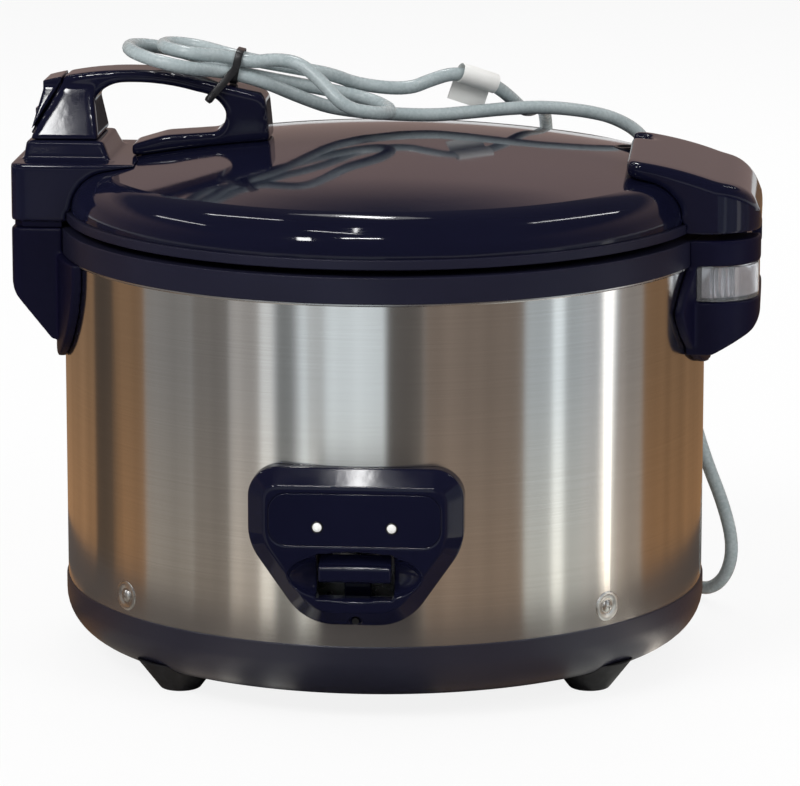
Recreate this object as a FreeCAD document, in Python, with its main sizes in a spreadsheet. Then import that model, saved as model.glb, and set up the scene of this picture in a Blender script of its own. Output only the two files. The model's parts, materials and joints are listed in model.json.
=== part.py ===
import FreeCAD, Part

import math
import os

import Sketcher

# A large rice cooker: steel body, hinged lid with a loop handle, cook switch, dew collector and mains cord.
# Frame: origin on the floor under the middle of the body, +Z up, front panel to -Y, handle to -X, hinge to +X

V = FreeCAD.Vector
os.makedirs("parts", exist_ok=True)
doc = FreeCAD.newDocument("rice_cooker")

# Driving sizes, in millimetres and degrees

SIZES = (
    # body
    ("foot_height", 14.0),
    ("foot_radius", 12.0),
    ("foot_flare", 15.0),
    ("foot_inset", 15.0),
    ("foot_turn", 4.9),
    ("quarter_angle", 47.0),
    ("base_height", 33.0),
    ("base_band", 10.0),
    ("base_floor_radius", 186.0),
    ("base_overhang", 1.0),
    ("base_wall", 3.0),
    ("bowl_radius", 26.0),
    ("floor_band", 46.0),
    ("base_upstand", 24.0),
    ("cover_plate", 1.5),
    ("cover_lap", 7.0),
    ("shell_radius", 200.0),
    ("shell_wall", 1.0),
    ("shell_height", 207.0),
    ("seat_clearance", 0.3),
    ("ring_height", 16.0),
    ("ring_overhang", 2.0),
    ("ring_mouth", 183.0),
    ("ledge_radius", 168.0),
    ("ledge_depth", 6.0),
    ("ledge_thickness", 5.0),
    ("ring_skirt", 8.0),
    # cooking chamber
    ("liner_radius", 172.0),
    ("liner_wall", 1.0),
    ("liner_lift", 4.0),
    ("pot_radius", 160.0),
    ("pot_wall", 2.5),
    ("pot_flange", 179.0),
    ("pot_flange_height", 2.0),
    ("pot_floor_height", 66.0),
    ("pot_corner", 12.0),
    ("heater_radius", 118.0),
    ("heater_height", 18.0),
    ("element_circle", 82.0),
    ("element_radius", 5.0),
    ("post_circle", 100.0),
    ("post_radius", 6.0),
    ("band_height", 30.0),
    ("band_thickness", 1.5),
    ("sensor_radius", 17.6),
    ("sensor_gap", 0.4),
    ("sensor_height", 3.0),
    ("housing_wall", 2.0),
    ("housing_depth", 14.0),
    ("rod_radius", 4.0),
    # brackets and hinge
    ("latch_overhang", 28.0),
    ("latch_half_width", 52.0),
    ("latch_drop", 39.0),
    ("latch_slant", 31.0),
    ("latch_turn", 7.0),
    ("latch_turn_radius", 19.2),
    ("hinge_overhang", 34.7),
    ("hinge_chin", 8.0),
    ("hinge_chin_radius", 15.0),
    ("hinge_half_width", 64.0),
    ("hinge_corner", 32.0),
    ("saddle_thickness", 5.5),
    ("saddle_drop", 65.0),
    ("saddle_flank", 62.0),
    ("latch_saddle", 92.0),
    ("latch_foot", 47.0),
    ("hinge_saddle", 82.0),
    ("hinge_foot", 29.0),
    ("bracket_edge", 7.0),
    ("bay_drop", 22.0),
    ("foot_of_block", 55.0),
    ("pin_inset", 12.7),
    ("pin_drop", 8.0),
    ("pin_radius", 3.5),
    ("pin_clearance", 0.05),
    ("knuckle_radius", 6.5),
    ("knuckle_half_width", 27.0),
    ("knuckle_gap", 0.6),
    ("collector_wall", 2.0),
    ("collector_clearance", 0.4),
    # lid
    ("parting_gap", 4.0),
    ("flange_height", 6.0),
    ("flange_radius", 199.5),
    ("lid_radius", 197.0),
    ("lid_wall", 3.0),
    ("lid_side", 0.5),
    ("lid_shoulder", 25.0),
    ("dome_radius", 870.0),
    ("lid_floor", 2.5),
    ("spigot_radius", 166.0),
    ("inner_lid_thickness", 1.5),
    ("gasket_radius", 172.0),
    ("gasket_clearance", 0.4),
    ("knob_radius", 12.0),
    ("knob_height", 6.0),
    ("vent_x", 148.0),
    ("vent_y", 44.0),
    ("vent_radius", 7.0),
    ("vent_wall", 2.0),
    ("vent_proud", 1.5),
    ("block_height", 36.0),
    ("block_inner", 150.0),
    ("block_edge", 7.0),
    ("collar_height", 11.0),
    ("collar_left", 222.0),
    ("collar_right", 168.0),
    ("collar_half_width", 34.0),
    ("collar_slope", 5.0),
    ("post_left", 220.0),
    ("post_right", 176.0),
    ("post_half_width", 28.0),
    ("post_height", 32.0),
    ("post_top_left", 211.5),
    ("post_top_right", 181.0),
    ("grip_half_width", 15.0),
    ("grip_left", 212.0),
    ("grip_right", 66.0),
    ("grip_crest", 51.5),
    ("grip_crown_radius", 210.0),
    ("grip_fall", 12.0),
    ("grip_end", 76.0),
    ("finger_left", 180.0),
    ("finger_right", 98.0),
    ("finger_top", 45.5),
    ("ridge_left", 157.0),
    ("ridge_height", 15.5),
    ("lever_gap", 1.0),
    ("lever_half_width", 8.0),
    ("lever_thickness", 6.0),
    ("lever_pin_inset", 13.0),
    ("lever_pin_lift", 6.0),
    ("lever_pin_radius", 2.5),
    ("lever_swing", 9.0),
    ("lever_top", 199.5),
    ("hook_depth", 8.0),
    ("cover_nose", 152.0),
    ("cover_height", 45.0),
    ("cover_fall", 13.5),
    ("cover_turn", 25.0),
    ("cover_crown_radius", 230.0),
    ("cover_turn_radius", 26.0),
    ("cover_end_height", 5.0),
    ("cover_wall", 2.5),
    ("nose_corner", 8.0),
    # control panel
    ("panel_depth", 12.0),
    ("panel_half_width", 64.0),
    ("panel_bottom", 61.0),
    ("panel_top", 156.5),
    ("panel_bevel", 9.0),
    ("panel_bevel_depth", 10.0),
    ("panel_taper", 49.0),
    ("panel_low_half", 30.0),
    ("panel_top_corner", 18.0),
    ("panel_low_corner", 34.0),
    ("plate_half_width", 51.0),
    ("plate_bottom", 111.0),
    ("plate_top", 142.5),
    ("plate_thickness", 1.5),
    ("plate_corner", 11.0),
    ("lamp_radius", 3.5),
    ("lamp_spread", 22.0),
    ("lamp_height", 122.3),
    ("lamp_proud", 1.2),
    ("recess_half_width", 40.0),
    ("recess_half_height", 15.0),
    ("recess_depth", 11.0),
    ("recess_height", 92.5),
    ("paddle_half_width", 21.5),
    ("paddle_height", 16.0),
    ("paddle_drop", 9.0),
    ("paddle_slope", 8.5),
    ("paddle_chin", 3.0),
    ("paddle_reach", 9.0),
    ("arm_half_width", 8.0),
    ("arm_thickness", 6.0),
    ("arm_height", 36.0),
    ("pivot_y", -100.0),
    ("leg_clearance", 5.7),
    ("pivot_radius", 2.5),
    ("screw_radius", 2.0),
    ("ear_thickness", 3.0),
    ("ear_gap", 0.6),
    ("ear_half_depth", 6.0),
    ("switch_half_depth", 12.0),
    ("switch_width", 12.0),
    ("switch_height", 18.0),
    # mains cord
    ("inlet_x", 30.0),
    ("inlet_height", 68.0),
    ("inlet_half_width", 22.0),
    ("inlet_half_height", 18.0),
    ("inlet_depth", 12.0),
    ("inlet_wall", 3.0),
    ("gland_y", 203.0),
    ("gland_length", 24.0),
    ("gland_radius", 8.0),
    ("terminal_width", 30.0),
    ("terminal_depth", 24.0),
    ("terminal_height", 18.0),
    ("terminal_y", 160.0),
    ("cord_diameter", 8.5),
    ("tie_width", 5.0),
    ("tie_thickness", 1.2),
    ("tie_clearance", 0.9),
    ("tag_length", 26.0),
    ("tag_clearance", 1.5),
    ("tag_inset", 0.7),
    ("tag_drop", 18.0),
    ("plug_radius", 16.0),
    ("plug_length", 36.0),
    ("plug_pin_radius", 2.4),
    ("plug_pin_length", 19.0),
    ("plug_pin_spread", 9.5),
)

sheet = doc.addObject("Spreadsheet::Sheet", "Sizes")
for row, (alias, number) in enumerate(SIZES, start=1):
    sheet.set(f"A{row}", alias)
    sheet.set(f"B{row}", str(number))
    sheet.setAlias(f"B{row}", alias)
doc.recompute()


class Size:
    """A length that keeps its number and the sheet expression which gives it."""

    def __init__(self, number, text=None):
        self.number = float(number)
        self.text = text if text else f"({self.number!r})"

    @staticmethod
    def of(value):
        return value if isinstance(value, Size) else Size(value)

    def joined(self, sign, other, number):
        return Size(number, f"({self.text} {sign} {other.text})")

    def __add__(self, other):
        other = Size.of(other)
        return self.joined("+", other, self.number + other.number)

    def __sub__(self, other):
        other = Size.of(other)
        return self.joined("-", other, self.number - other.number)

    def __mul__(self, other):
        other = Size.of(other)
        return self.joined("*", other, self.number * other.number)

    def __truediv__(self, other):
        other = Size.of(other)
        return self.joined("/", other, self.number / other.number)

    def __radd__(self, other):
        return Size.of(other) + self

    def __rsub__(self, other):
        return Size.of(other) - self

    def __rmul__(self, other):
        return Size.of(other) * self

    def __neg__(self):
        return Size(-self.number, f"(-{self.text})")

    def root(self):
        return Size(math.sqrt(self.number), f"sqrt({self.text})")


class Sheet:
    """Gives each cell of the sheet as a Size, by its alias."""

    def __getattr__(self, alias):
        return Size(sheet.get(alias), f"Sizes.{alias}")


s = Sheet()
pieces = []


def bind(thing, path, size):
    thing.setExpression(path, Size.of(size).text)


def piece(label, thing):
    """Gives a finished sub-part its name and puts it on the list that is written out."""
    doc.recompute()
    thing.Label = label
    pieces.append(thing)
    return thing


# Ready-made solids: each takes sizes and places as Size values

count = 0


def fresh(kind):
    global count
    count += 1
    return doc.addObject(kind, f"Feature{count}")


def box(x, y, z):
    """A block between the low and high value of each pair."""
    b = fresh("Part::Box")
    for side, axis, (low, high) in zip(("Length", "Width", "Height"), "xyz", (x, y, z)):
        bind(b, side, Size.of(high) - low)
        bind(b, f"Placement.Base.{axis}", low)
    return b


TURNS = {
    "x": FreeCAD.Rotation(V(0, 1, 0), 90),
    "y": FreeCAD.Rotation(V(1, 0, 0), -90),
    "z": FreeCAD.Rotation(),
}


def rod(radius, along, span, at, end_radius=None):
    """A round bar, or a cone, along one axis. The pair at gives its place on the other two axes."""
    low, high = span
    if end_radius is None:
        r = fresh("Part::Cylinder")
        bind(r, "Radius", radius)
    else:
        r = fresh("Part::Cone")
        bind(r, "Radius1", radius)
        bind(r, "Radius2", end_radius)
    bind(r, "Height", Size.of(high) - low)
    r.Placement = FreeCAD.Placement(V(), TURNS[along])
    bind(r, f"Placement.Base.{along}", low)
    for axis, value in zip([a for a in "xyz" if a != along], at):
        bind(r, f"Placement.Base.{axis}", value)
    return r


def cut(base, *tools):
    for tool in tools:
        c = fresh("Part::Cut")
        c.Base = base
        c.Tool = tool
        base = c
    return base


def fuse(*things):
    f = fresh("Part::MultiFuse")
    f.Shapes = list(things)
    f.Refine = True
    return f


def common(*things):
    c = fresh("Part::MultiCommon")
    c.Shapes = list(things)
    return c


def group(*things):
    g = fresh("Part::Compound")
    g.Links = list(things)
    return g


def round_edges(thing, radius, wanted):
    """Fillets the edges that the test picks."""
    doc.recompute()
    f = fresh("Part::Fillet")
    f.Base = thing
    number = Size.of(radius).number
    edges = thing.Shape.Edges
    f.Edges = [(i, number, number) for i, e in enumerate(edges, start=1) if wanted(e)]
    return f


def is_along(edge, axis):
    """True for a straight edge along one axis."""
    if edge.Curve.TypeId != "Part::GeomLine":
        return False
    d = edge.Curve.Direction
    return abs(getattr(d, axis)) > 0.999


# Sketched solids


def sketch_on(body, role):
    sk = body.newObject("Sketcher::SketchObject", "Sketch")
    plane = next(o for o in body.Origin.OriginFeatures if o.Role == role)
    sk.AttachmentSupport = [(plane, "")]
    sk.MapMode = "FlatFace"
    return sk


def arc_between(start, end, radius, bulge):
    """A circular arc of the given radius. A bulge of 1 swells to the right of the way from start to end."""
    half = (end - start) * 0.5
    side = V(half.y, -half.x, 0).normalize()
    rise = radius - math.sqrt(radius**2 - half.Length**2)
    middle = start + half + side * rise * bulge
    return Part.Arc(start, middle, end) if bulge > 0 else Part.Arc(end, middle, start)


def outline(sk, corners):
    """Draws a closed outline. A corner is (x, y), or (x, y, radius, bulge) if an arc leads on from it."""
    spots = [V(Size.of(c[0]).number, Size.of(c[1]).number, 0) for c in corners]
    n = len(corners)
    for i, corner in enumerate(corners):
        start, end = spots[i], spots[(i + 1) % n]
        if len(corner) == 2:
            sk.addGeometry(Part.LineSegment(start, end))
        else:
            sk.addGeometry(arc_between(start, end, Size.of(corner[2]).number, corner[3]))
    ends = [(2, 1) if len(c) == 4 and c[3] < 0 else (1, 2) for c in corners]
    for i, corner in enumerate(corners):
        j = (i + 1) % n
        sk.addConstraint(Sketcher.Constraint("Coincident", i, ends[i][1], j, ends[j][0]))
        for kind, axis, value in (("DistanceX", -2, corner[0]), ("DistanceY", -1, corner[1])):
            if Size.of(value).number == 0.0:
                sk.addConstraint(Sketcher.Constraint("PointOnObject", i, ends[i][0], axis))
                continue
            c = sk.addConstraint(Sketcher.Constraint(kind, -1, 1, i, ends[i][0], Size.of(value).number))
            bind(sk, f"Constraints[{c}]", value)
        if len(corner) == 4:
            c = sk.addConstraint(Sketcher.Constraint("Radius", i, Size.of(corner[2]).number))
            bind(sk, f"Constraints[{c}]", corner[2])


def turned(corners):
    """A body turned about the Z axis from an outline of (radius, height) corners."""
    body = fresh("PartDesign::Body")
    sk = sketch_on(body, "XZ_Plane")
    outline(sk, corners)
    rev = body.newObject("PartDesign::Revolution", "Revolution")
    rev.Profile = sk
    rev.ReferenceAxis = (sk, ["V_Axis"])
    rev.Angle = 360
    doc.recompute()
    return body


def slab(role, corners, half_width):
    """A body padded to both sides of an origin plane."""
    body = fresh("PartDesign::Body")
    sk = sketch_on(body, role)
    outline(sk, corners)
    pad = body.newObject("PartDesign::Pad", "Pad")
    pad.Profile = sk
    pad.SideType = "Symmetric"
    bind(pad, "Length", 2 * Size.of(half_width))
    doc.recompute()
    return body


# Levels and radii that several pieces share

base_top = s.foot_height + s.base_height
base_opening = s.base_floor_radius - s.floor_band
foot_circle = s.base_floor_radius - s.foot_inset
latch_reach = s.shell_radius + s.latch_overhang
lever_pin_x = latch_reach - s.lever_pin_inset
hinge_reach = s.shell_radius + s.hinge_overhang
pin_x = hinge_reach - s.pin_inset
panel_reach = s.shell_radius + s.panel_depth
inlet_reach = s.shell_radius + s.inlet_depth
shell_top = base_top + s.shell_height
ring_top = shell_top + s.ring_height
shell_inside = s.shell_radius - s.shell_wall
ring_radius = s.shell_radius + s.ring_overhang
ledge_top = ring_top - s.ledge_depth
pot_rim = ledge_top + s.pot_flange_height
pot_bottom = s.foot_height + s.pot_floor_height
heater_bottom = pot_bottom - s.heater_height
lid_bottom = ring_top + s.parting_gap
flange_top = lid_bottom + s.flange_height
pin_z = ring_top - s.pin_drop
fit_radius = shell_inside - s.seat_clearance
cover_top = s.foot_height
cosine = math.cos(math.radians(s.quarter_angle.number))
sine = math.sin(math.radians(s.quarter_angle.number))
quarters = [(a * sine, b * cosine) for b in (-1, 1) for a in (-1, 1)]

# Base tray, cover plate and feet

base_radius = s.shell_radius + s.base_overhang
band_low = base_top - s.base_band
inner_base = fit_radius - s.base_wall
screw_tip = fit_radius - s.base_wall * 0.6
bowl_inside = s.bowl_radius - s.base_wall
tray = turned([
    (base_opening, s.foot_height),
    (s.base_floor_radius, s.foot_height, s.bowl_radius, 1),
    (base_radius, band_low),
    (base_radius, base_top),
    (fit_radius, base_top),
    (fit_radius, base_top + s.base_upstand),
    (inner_base, base_top + s.base_upstand),
    (inner_base, band_low, bowl_inside, -1),
    (s.base_floor_radius - s.base_wall, s.foot_height + s.base_wall),
    (base_opening, s.foot_height + s.base_wall),
])


def shell_screw(x, y):
    """A pan-head screw that goes through the shell into the base, pointing at the axis of the body."""
    head = s.screw_radius * 2
    span = (screw_tip, s.shell_radius)
    shank = rod(s.screw_radius, "x", span, (0, 0))
    cap = rod(head, "x", (s.shell_radius, s.shell_radius + 2), (0, 0), s.screw_radius * 1.4)
    screw = fuse(shank, cap)
    angle = math.degrees(math.atan2(y, x))
    screw.Placement = FreeCAD.Placement(V(), FreeCAD.Rotation(V(0, 0, 1), angle))
    bind(screw, "Placement.Base.z", base_top + s.base_upstand / 2)
    return screw


shell_screws = group(*[shell_screw(x, y) for x, y in quarters])

cover_radius = base_opening + s.cover_lap
cover = rod(cover_radius, "z", (cover_top - s.cover_plate, cover_top), (0, 0))
cover_circle = cover_radius - s.cover_lap / 2
cover_screws = []
for x, y in quarters:
    at = (cover_circle * y, cover_circle * x)
    shank = rod(s.screw_radius, "z", (cover_top - s.cover_plate, cover_top + 2), at)
    head = rod(s.screw_radius * 1.6, "z", (cover_top - s.cover_plate - 1.6, cover_top - s.cover_plate), at)
    cover_screws.append(fuse(shank, head))
cover_screws = group(*cover_screws)
piece("bottom_plate", cut(cover, cover_screws))
piece("cover_screws", cover_screws)

bowl_envelope = turned([
    (0, s.foot_height),
    (s.base_floor_radius, s.foot_height, s.bowl_radius, 1),
    (base_radius, band_low),
    (0, band_low),
])
feet = []
for a in (-1, 1):
    for b in (-1, 1):
        angle = math.radians(90 * b + s.quarter_angle.number * a * b + s.foot_turn.number)
        at = (foot_circle * math.cos(angle), foot_circle * math.sin(angle))
        span = (0, s.foot_height * 1.4)
        feet.append(cut(rod(s.foot_radius, "z", span, at, s.foot_radius + s.foot_flare), bowl_envelope))
piece("rubber_feet", group(*feet))

# Steel shell, with its front and rear openings

opening_half = s.paddle_half_width + s.panel_bevel
shell = turned([
    (shell_inside, base_top),
    (s.shell_radius, base_top),
    (s.shell_radius, shell_top),
    (shell_inside, shell_top),
])
front_opening = box(
    (-opening_half, opening_half),
    (-panel_reach, -s.shell_radius / 2),
    (s.recess_height - s.recess_half_height, s.plate_top),
)
rear_opening = rod(
    s.cord_diameter, "y", (s.shell_radius / 2, inlet_reach), (s.inlet_x, s.inlet_height)
)

# Upper ring with the ledge that carries the pot, and the liner that hangs from it

ledge_low = ledge_top - s.ledge_thickness
ring = turned([
    (s.ledge_radius, ledge_low),
    (fit_radius - s.base_wall, ledge_low),
    (fit_radius - s.base_wall, shell_top - s.ring_skirt),
    (fit_radius, shell_top - s.ring_skirt),
    (fit_radius, shell_top),
    (ring_radius, shell_top),
    (ring_radius, ring_top),
    (s.ring_mouth, ring_top),
    (s.ring_mouth, ledge_top),
    (s.ledge_radius, ledge_top),
])
piece("upper_ring", ring)

liner_inside = s.liner_radius - s.liner_wall
liner_floor = heater_bottom + s.liner_lift
liner_lip = s.liner_radius + 14
liner = turned([
    (s.heater_radius + s.liner_lift, liner_floor),
    (s.liner_radius, liner_floor),
    (s.liner_radius, ledge_low - s.liner_wall),
    (liner_lip, ledge_low - s.liner_wall),
    (liner_lip, ledge_low),
    (liner_inside, ledge_low),
    (liner_inside, liner_floor + s.liner_wall),
    (s.heater_radius + s.liner_lift, liner_floor + s.liner_wall),
])
piece("pot_liner", liner)

band_low_z = (ledge_low + liner_floor) / 2 - s.band_height / 2
band = turned([
    (s.liner_radius, band_low_z),
    (s.liner_radius + s.band_thickness, band_low_z),
    (s.liner_radius + s.band_thickness, band_low_z + s.band_height),
    (s.liner_radius, band_low_z + s.band_height),
])
piece("warming_band", band)

# Cooking pot on the heating plate

pot_inside = s.pot_radius - s.pot_wall
pot = turned([
    (0, pot_bottom),
    (s.pot_radius - s.pot_corner, pot_bottom, s.pot_corner, 1),
    (s.pot_radius, pot_bottom + s.pot_corner),
    (s.pot_radius, ledge_top),
    (s.pot_flange, ledge_top),
    (s.pot_flange, pot_rim),
    (pot_inside, pot_rim),
    (pot_inside, pot_bottom + s.pot_corner, s.pot_corner - s.pot_wall, -1),
    (s.pot_radius - s.pot_corner, pot_bottom + s.pot_wall),
    (0, pot_bottom + s.pot_wall),
])
piece("inner_pot", pot)

housing_inside = s.sensor_radius + s.sensor_gap
housing_outside = housing_inside + s.housing_wall
housing_top = heater_bottom + s.housing_wall * 2
housing_floor = heater_bottom - s.housing_depth
element_z = heater_bottom + s.heater_height / 2
element_ring = fresh("Part::Torus")
bind(element_ring, "Radius1", s.element_circle)
bind(element_ring, "Radius2", s.element_radius)
bind(element_ring, "Placement.Base.z", element_z)
terminal_angle = math.radians(12)
terminal_span = (heater_bottom - s.element_radius * 3, element_z)
terminals = []
for side in (-1, 1):
    at = (s.element_circle * side * math.sin(terminal_angle), s.element_circle * math.cos(terminal_angle))
    terminals.append(rod(s.element_radius * 0.7, "z", terminal_span, at))
element = fuse(element_ring, *terminals)
plate_disc = turned([
    (housing_inside, housing_top),
    (housing_outside, housing_top),
    (housing_outside, heater_bottom),
    (s.heater_radius, heater_bottom),
    (s.heater_radius, pot_bottom),
    (housing_inside, pot_bottom),
])
posts = []
for step in range(3):
    angle = math.radians(90 + 120 * step)
    at = (s.post_circle * math.cos(angle), s.post_circle * math.sin(angle))
    posts.append(rod(s.post_radius, "z", (cover_top, heater_bottom), at))
piece("heating_plate", cut(plate_disc, element))
piece("heating_element", element)
piece("heater_posts", group(*posts))

# Thermostat: a sprung cap under the pot, and the magnet rod which the cook lever lifts

housing = turned([
    (s.rod_radius + s.sensor_gap, housing_floor),
    (housing_outside, housing_floor),
    (housing_outside, housing_top),
    (housing_inside, housing_top),
    (housing_inside, housing_floor + s.housing_wall),
    (s.rod_radius + s.sensor_gap, housing_floor + s.housing_wall),
])
piece("thermostat_housing", housing)

cap_top = pot_bottom - s.sensor_gap
stem_radius = s.sensor_radius * 0.4
stem_low = heater_bottom - s.housing_wall
cap = turned([
    (0, stem_low),
    (stem_radius, stem_low),
    (stem_radius, cap_top - s.sensor_height),
    (s.sensor_radius, cap_top - s.sensor_height),
    (s.sensor_radius, cap_top),
    (0, cap_top),
])
piece("sensor_cap", cap)

spring_inside = stem_radius + s.housing_wall
spring = turned([
    (spring_inside, housing_floor + s.housing_wall),
    (spring_inside + s.housing_wall, housing_floor + s.housing_wall),
    (spring_inside + s.housing_wall, cap_top - s.sensor_height),
    (spring_inside, cap_top - s.sensor_height),
])
piece("sensor_spring", spring)

# Control panel on the front of the shell

panel_slab = slab("XZ_Plane", [
    (-s.panel_half_width, s.panel_top),
    (-s.panel_half_width, s.panel_bottom + s.panel_taper),
    (-s.panel_low_half, s.panel_bottom),
    (s.panel_low_half, s.panel_bottom),
    (s.panel_half_width, s.panel_bottom + s.panel_taper),
    (s.panel_half_width, s.panel_top),
], panel_reach)
top_line = s.panel_top.number
panel_slab = round_edges(
    panel_slab, s.panel_top_corner, lambda e: is_along(e, "y") and e.CenterOfMass.z > top_line - 1
)
low_line = (s.panel_bottom + s.panel_taper).number
panel_slab = round_edges(
    panel_slab, s.panel_low_corner, lambda e: is_along(e, "y") and e.CenterOfMass.z < low_line + 1
)
doc.recompute()
bevel = fresh("Part::Chamfer")
bevel.Base = panel_slab
bevel.Edges = [
    (i, s.panel_bevel.number, s.panel_bevel_depth.number)
    for i, e in enumerate(panel_slab.Shape.Edges, start=1)
    if abs(e.CenterOfMass.y + panel_reach.number) < 0.01
]
body_core = turned([
    (0, 0),
    (s.shell_radius, 0),
    (s.shell_radius, shell_top),
    (ring_radius, shell_top),
    (ring_radius, ring_top),
    (0, ring_top),
])
front_half = box((-s.shell_radius, s.shell_radius), (-panel_reach * 2, 0), (0, shell_top))
bowl = fresh("Part::Ellipsoid")
bind(bowl, "Radius1", s.recess_half_height)
bind(bowl, "Radius2", s.recess_half_width)
bind(bowl, "Radius3", s.recess_depth)
bowl.Angle1 = -90
bind(bowl, "Placement.Base.y", -panel_reach)
bind(bowl, "Placement.Base.z", s.recess_height)
paddle_top = s.recess_height + s.paddle_height * 0.75
paddle_low = paddle_top - s.paddle_height
paddle_gap = s.paddle_half_width + 1.5
throat = box(
    (-paddle_gap, paddle_gap),
    (-panel_reach, -s.shell_radius / 2),
    (paddle_low - s.paddle_drop - 1, paddle_top + 1.5),
)
plate = box(
    (-s.plate_half_width, s.plate_half_width),
    (-panel_reach, -panel_reach + s.plate_thickness),
    (s.plate_bottom, s.plate_top),
)
plate = round_edges(plate, s.plate_corner, lambda e: is_along(e, "y"))
lamps = []
for side in (-1, 1):
    at = (s.lamp_spread * side, s.lamp_height)
    span = (-panel_reach - s.lamp_proud, -s.shell_radius)
    lamps.append(rod(s.lamp_radius, "y", span, at))
lamps = group(*lamps)
notch_z = s.panel_bottom + s.screw_radius * 1.5
notch = rod(s.screw_radius * 1.8, "y", (-panel_reach - 1, -s.shell_radius - 3), (0, notch_z))
panel_screw = rod(s.screw_radius, "y", (-s.shell_radius - 5, -screw_tip), (0, notch_z))
panel = common(bevel, front_half)
panel = cut(panel, body_core, bowl, throat, plate, lamps, notch, panel_screw)
piece("control_panel", panel)
piece("panel_plate", cut(plate, lamps))
piece("indicator_lamps", lamps)
piece("panel_screw", panel_screw)

# Brackets on both sides of the body


tongue_low = shell_top - s.saddle_drop


def saddle(side, foot, flank, level, top):
    """A curved plate that hugs the shell: half its width at the foot, at a level of its flank and at the top."""
    bend = s.saddle_flank
    shield = slab("YZ_Plane", [
        (foot, tongue_low, bend, 1),
        (flank, level, bend, 1),
        (top, shell_top),
        (-top, shell_top, bend, 1),
        (-flank, level, bend, 1),
        (-foot, tongue_low),
    ], s.shell_radius * 2)
    tube = turned([
        (s.shell_radius, tongue_low),
        (s.shell_radius + s.saddle_thickness, tongue_low),
        (s.shell_radius + s.saddle_thickness, shell_top),
        (s.shell_radius, shell_top),
    ])
    reach = s.shell_radius * 2
    span = (-reach, 0) if side < 0 else (0, reach)
    return common(tube, shield, box(span, (-reach, reach), (0, shell_top)))


latch_turn_level = ring_top - s.latch_drop
latch_low = latch_turn_level - s.latch_slant
latch_side = slab("XZ_Plane", [
    (-latch_reach, ring_top),
    (-latch_reach, latch_turn_level + s.latch_turn, s.latch_turn_radius, 1),
    (-latch_reach + s.latch_turn * 0.64, latch_turn_level - s.latch_turn * 0.77),
    (-s.shell_radius - s.saddle_thickness / 2, latch_low),
    (-s.shell_radius * 0.9, latch_low),
    (-s.shell_radius * 0.9, ring_top),
], s.latch_half_width * 1.1)
latch_plan = box(
    (-latch_reach, -s.shell_radius * 0.8), (-s.latch_half_width, s.latch_half_width), (tongue_low, ring_top * 1.1)
)
outer_left = -latch_reach.number
latch_plan = round_edges(
    latch_plan, s.bracket_edge, lambda e: is_along(e, "z") and e.CenterOfMass.x < outer_left + 1
)
latch_block = common(latch_plan, latch_side)
latch_saddle = saddle(-1, s.latch_foot, s.latch_saddle, tongue_low + s.saddle_drop * 0.88, s.latch_saddle)
slot_half_width = s.lever_half_width + s.knuckle_gap
arm_left = -lever_pin_x - s.lever_thickness / 2
arm_right = -lever_pin_x + s.lever_thickness / 2
hook_low = ring_top - s.hook_depth
strike_pocket = box(
    (arm_left - s.lever_thickness / 2, -s.shell_radius),
    (-slot_half_width, slot_half_width),
    (hook_low - s.lever_gap * 2, ring_top),
)


def bracket_screw(side, y, z):
    """A screw from inside the shell into a bracket."""
    inner = shell_inside - 2.5
    outer = s.shell_radius + s.saddle_thickness - 1
    if side < 0:
        head = rod(s.screw_radius * 2, "x", (-inner, -inner + 2.5), (y, z))
        return fuse(head, rod(s.screw_radius, "x", (-outer, -inner), (y, z)))
    head = rod(s.screw_radius * 2, "x", (inner - 2.5, inner), (y, z))
    return fuse(head, rod(s.screw_radius, "x", (inner, outer), (y, z)))


screw_level = shell_top - s.saddle_drop * 0.55
bracket_screws = group(*[bracket_screw(side, y, screw_level) for side in (-1, 1) for y in (-15, 15)])
latch_bracket = cut(fuse(latch_block, latch_saddle), body_core, strike_pocket, bracket_screws)
piece("latch_bracket", latch_bracket)

# Hinge bracket: ears for the pin, a bay for the dew collector, and the block under it

bay_low = shell_top - s.bay_drop
block_low = shell_top - s.foot_of_block
hinge_side = slab("XZ_Plane", [
    (s.shell_radius * 0.9, ring_top),
    (hinge_reach, ring_top),
    (hinge_reach, bay_low - s.hinge_chin, s.hinge_chin_radius, -1),
    (hinge_reach - s.hinge_chin, bay_low - s.hinge_chin * 2.7),
    (s.shell_radius + s.saddle_thickness, block_low),
    (s.shell_radius * 0.9, block_low),
], s.hinge_half_width)
hinge_plan = box(
    (s.shell_radius * 0.9, hinge_reach), (-s.hinge_half_width, s.hinge_half_width), (block_low, ring_top)
)
outer_right = hinge_reach.number
hinge_plan = round_edges(
    hinge_plan, s.hinge_corner, lambda e: is_along(e, "z") and e.CenterOfMass.x > outer_right - 1
)
hinge_block = common(hinge_plan, hinge_side)
hinge_saddle = saddle(
    1, s.hinge_foot, s.hinge_saddle, tongue_low + s.saddle_drop * 0.6, s.hinge_saddle * 0.76
)
wide = s.hinge_half_width * 2
bay = cut(
    box((s.shell_radius * 0.5, s.shell_radius * 2), (-wide, wide), (bay_low, shell_top)),
    rod(s.shell_radius + s.saddle_thickness, "z", (bay_low, shell_top), (0, 0)),
)
slot_half = s.knuckle_half_width + s.knuckle_gap
knuckle_slot = box(
    (pin_x - s.knuckle_radius - s.knuckle_gap, hinge_reach * 2),
    (-slot_half, slot_half),
    (shell_top, ring_top),
)
pin_half = s.hinge_half_width * 0.75
hinge_pin = rod(s.pin_radius, "y", (-pin_half, pin_half), (pin_x, pin_z))
hinge_bracket = cut(
    fuse(cut(hinge_block, bay), hinge_saddle), body_core, knuckle_slot, hinge_pin, bracket_screws
)
piece("hinge_bracket", hinge_bracket)
piece("hinge_pin", hinge_pin)
piece("bracket_screws", bracket_screws)

# Dew collector: a clear drawer that slides out of the bay

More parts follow.
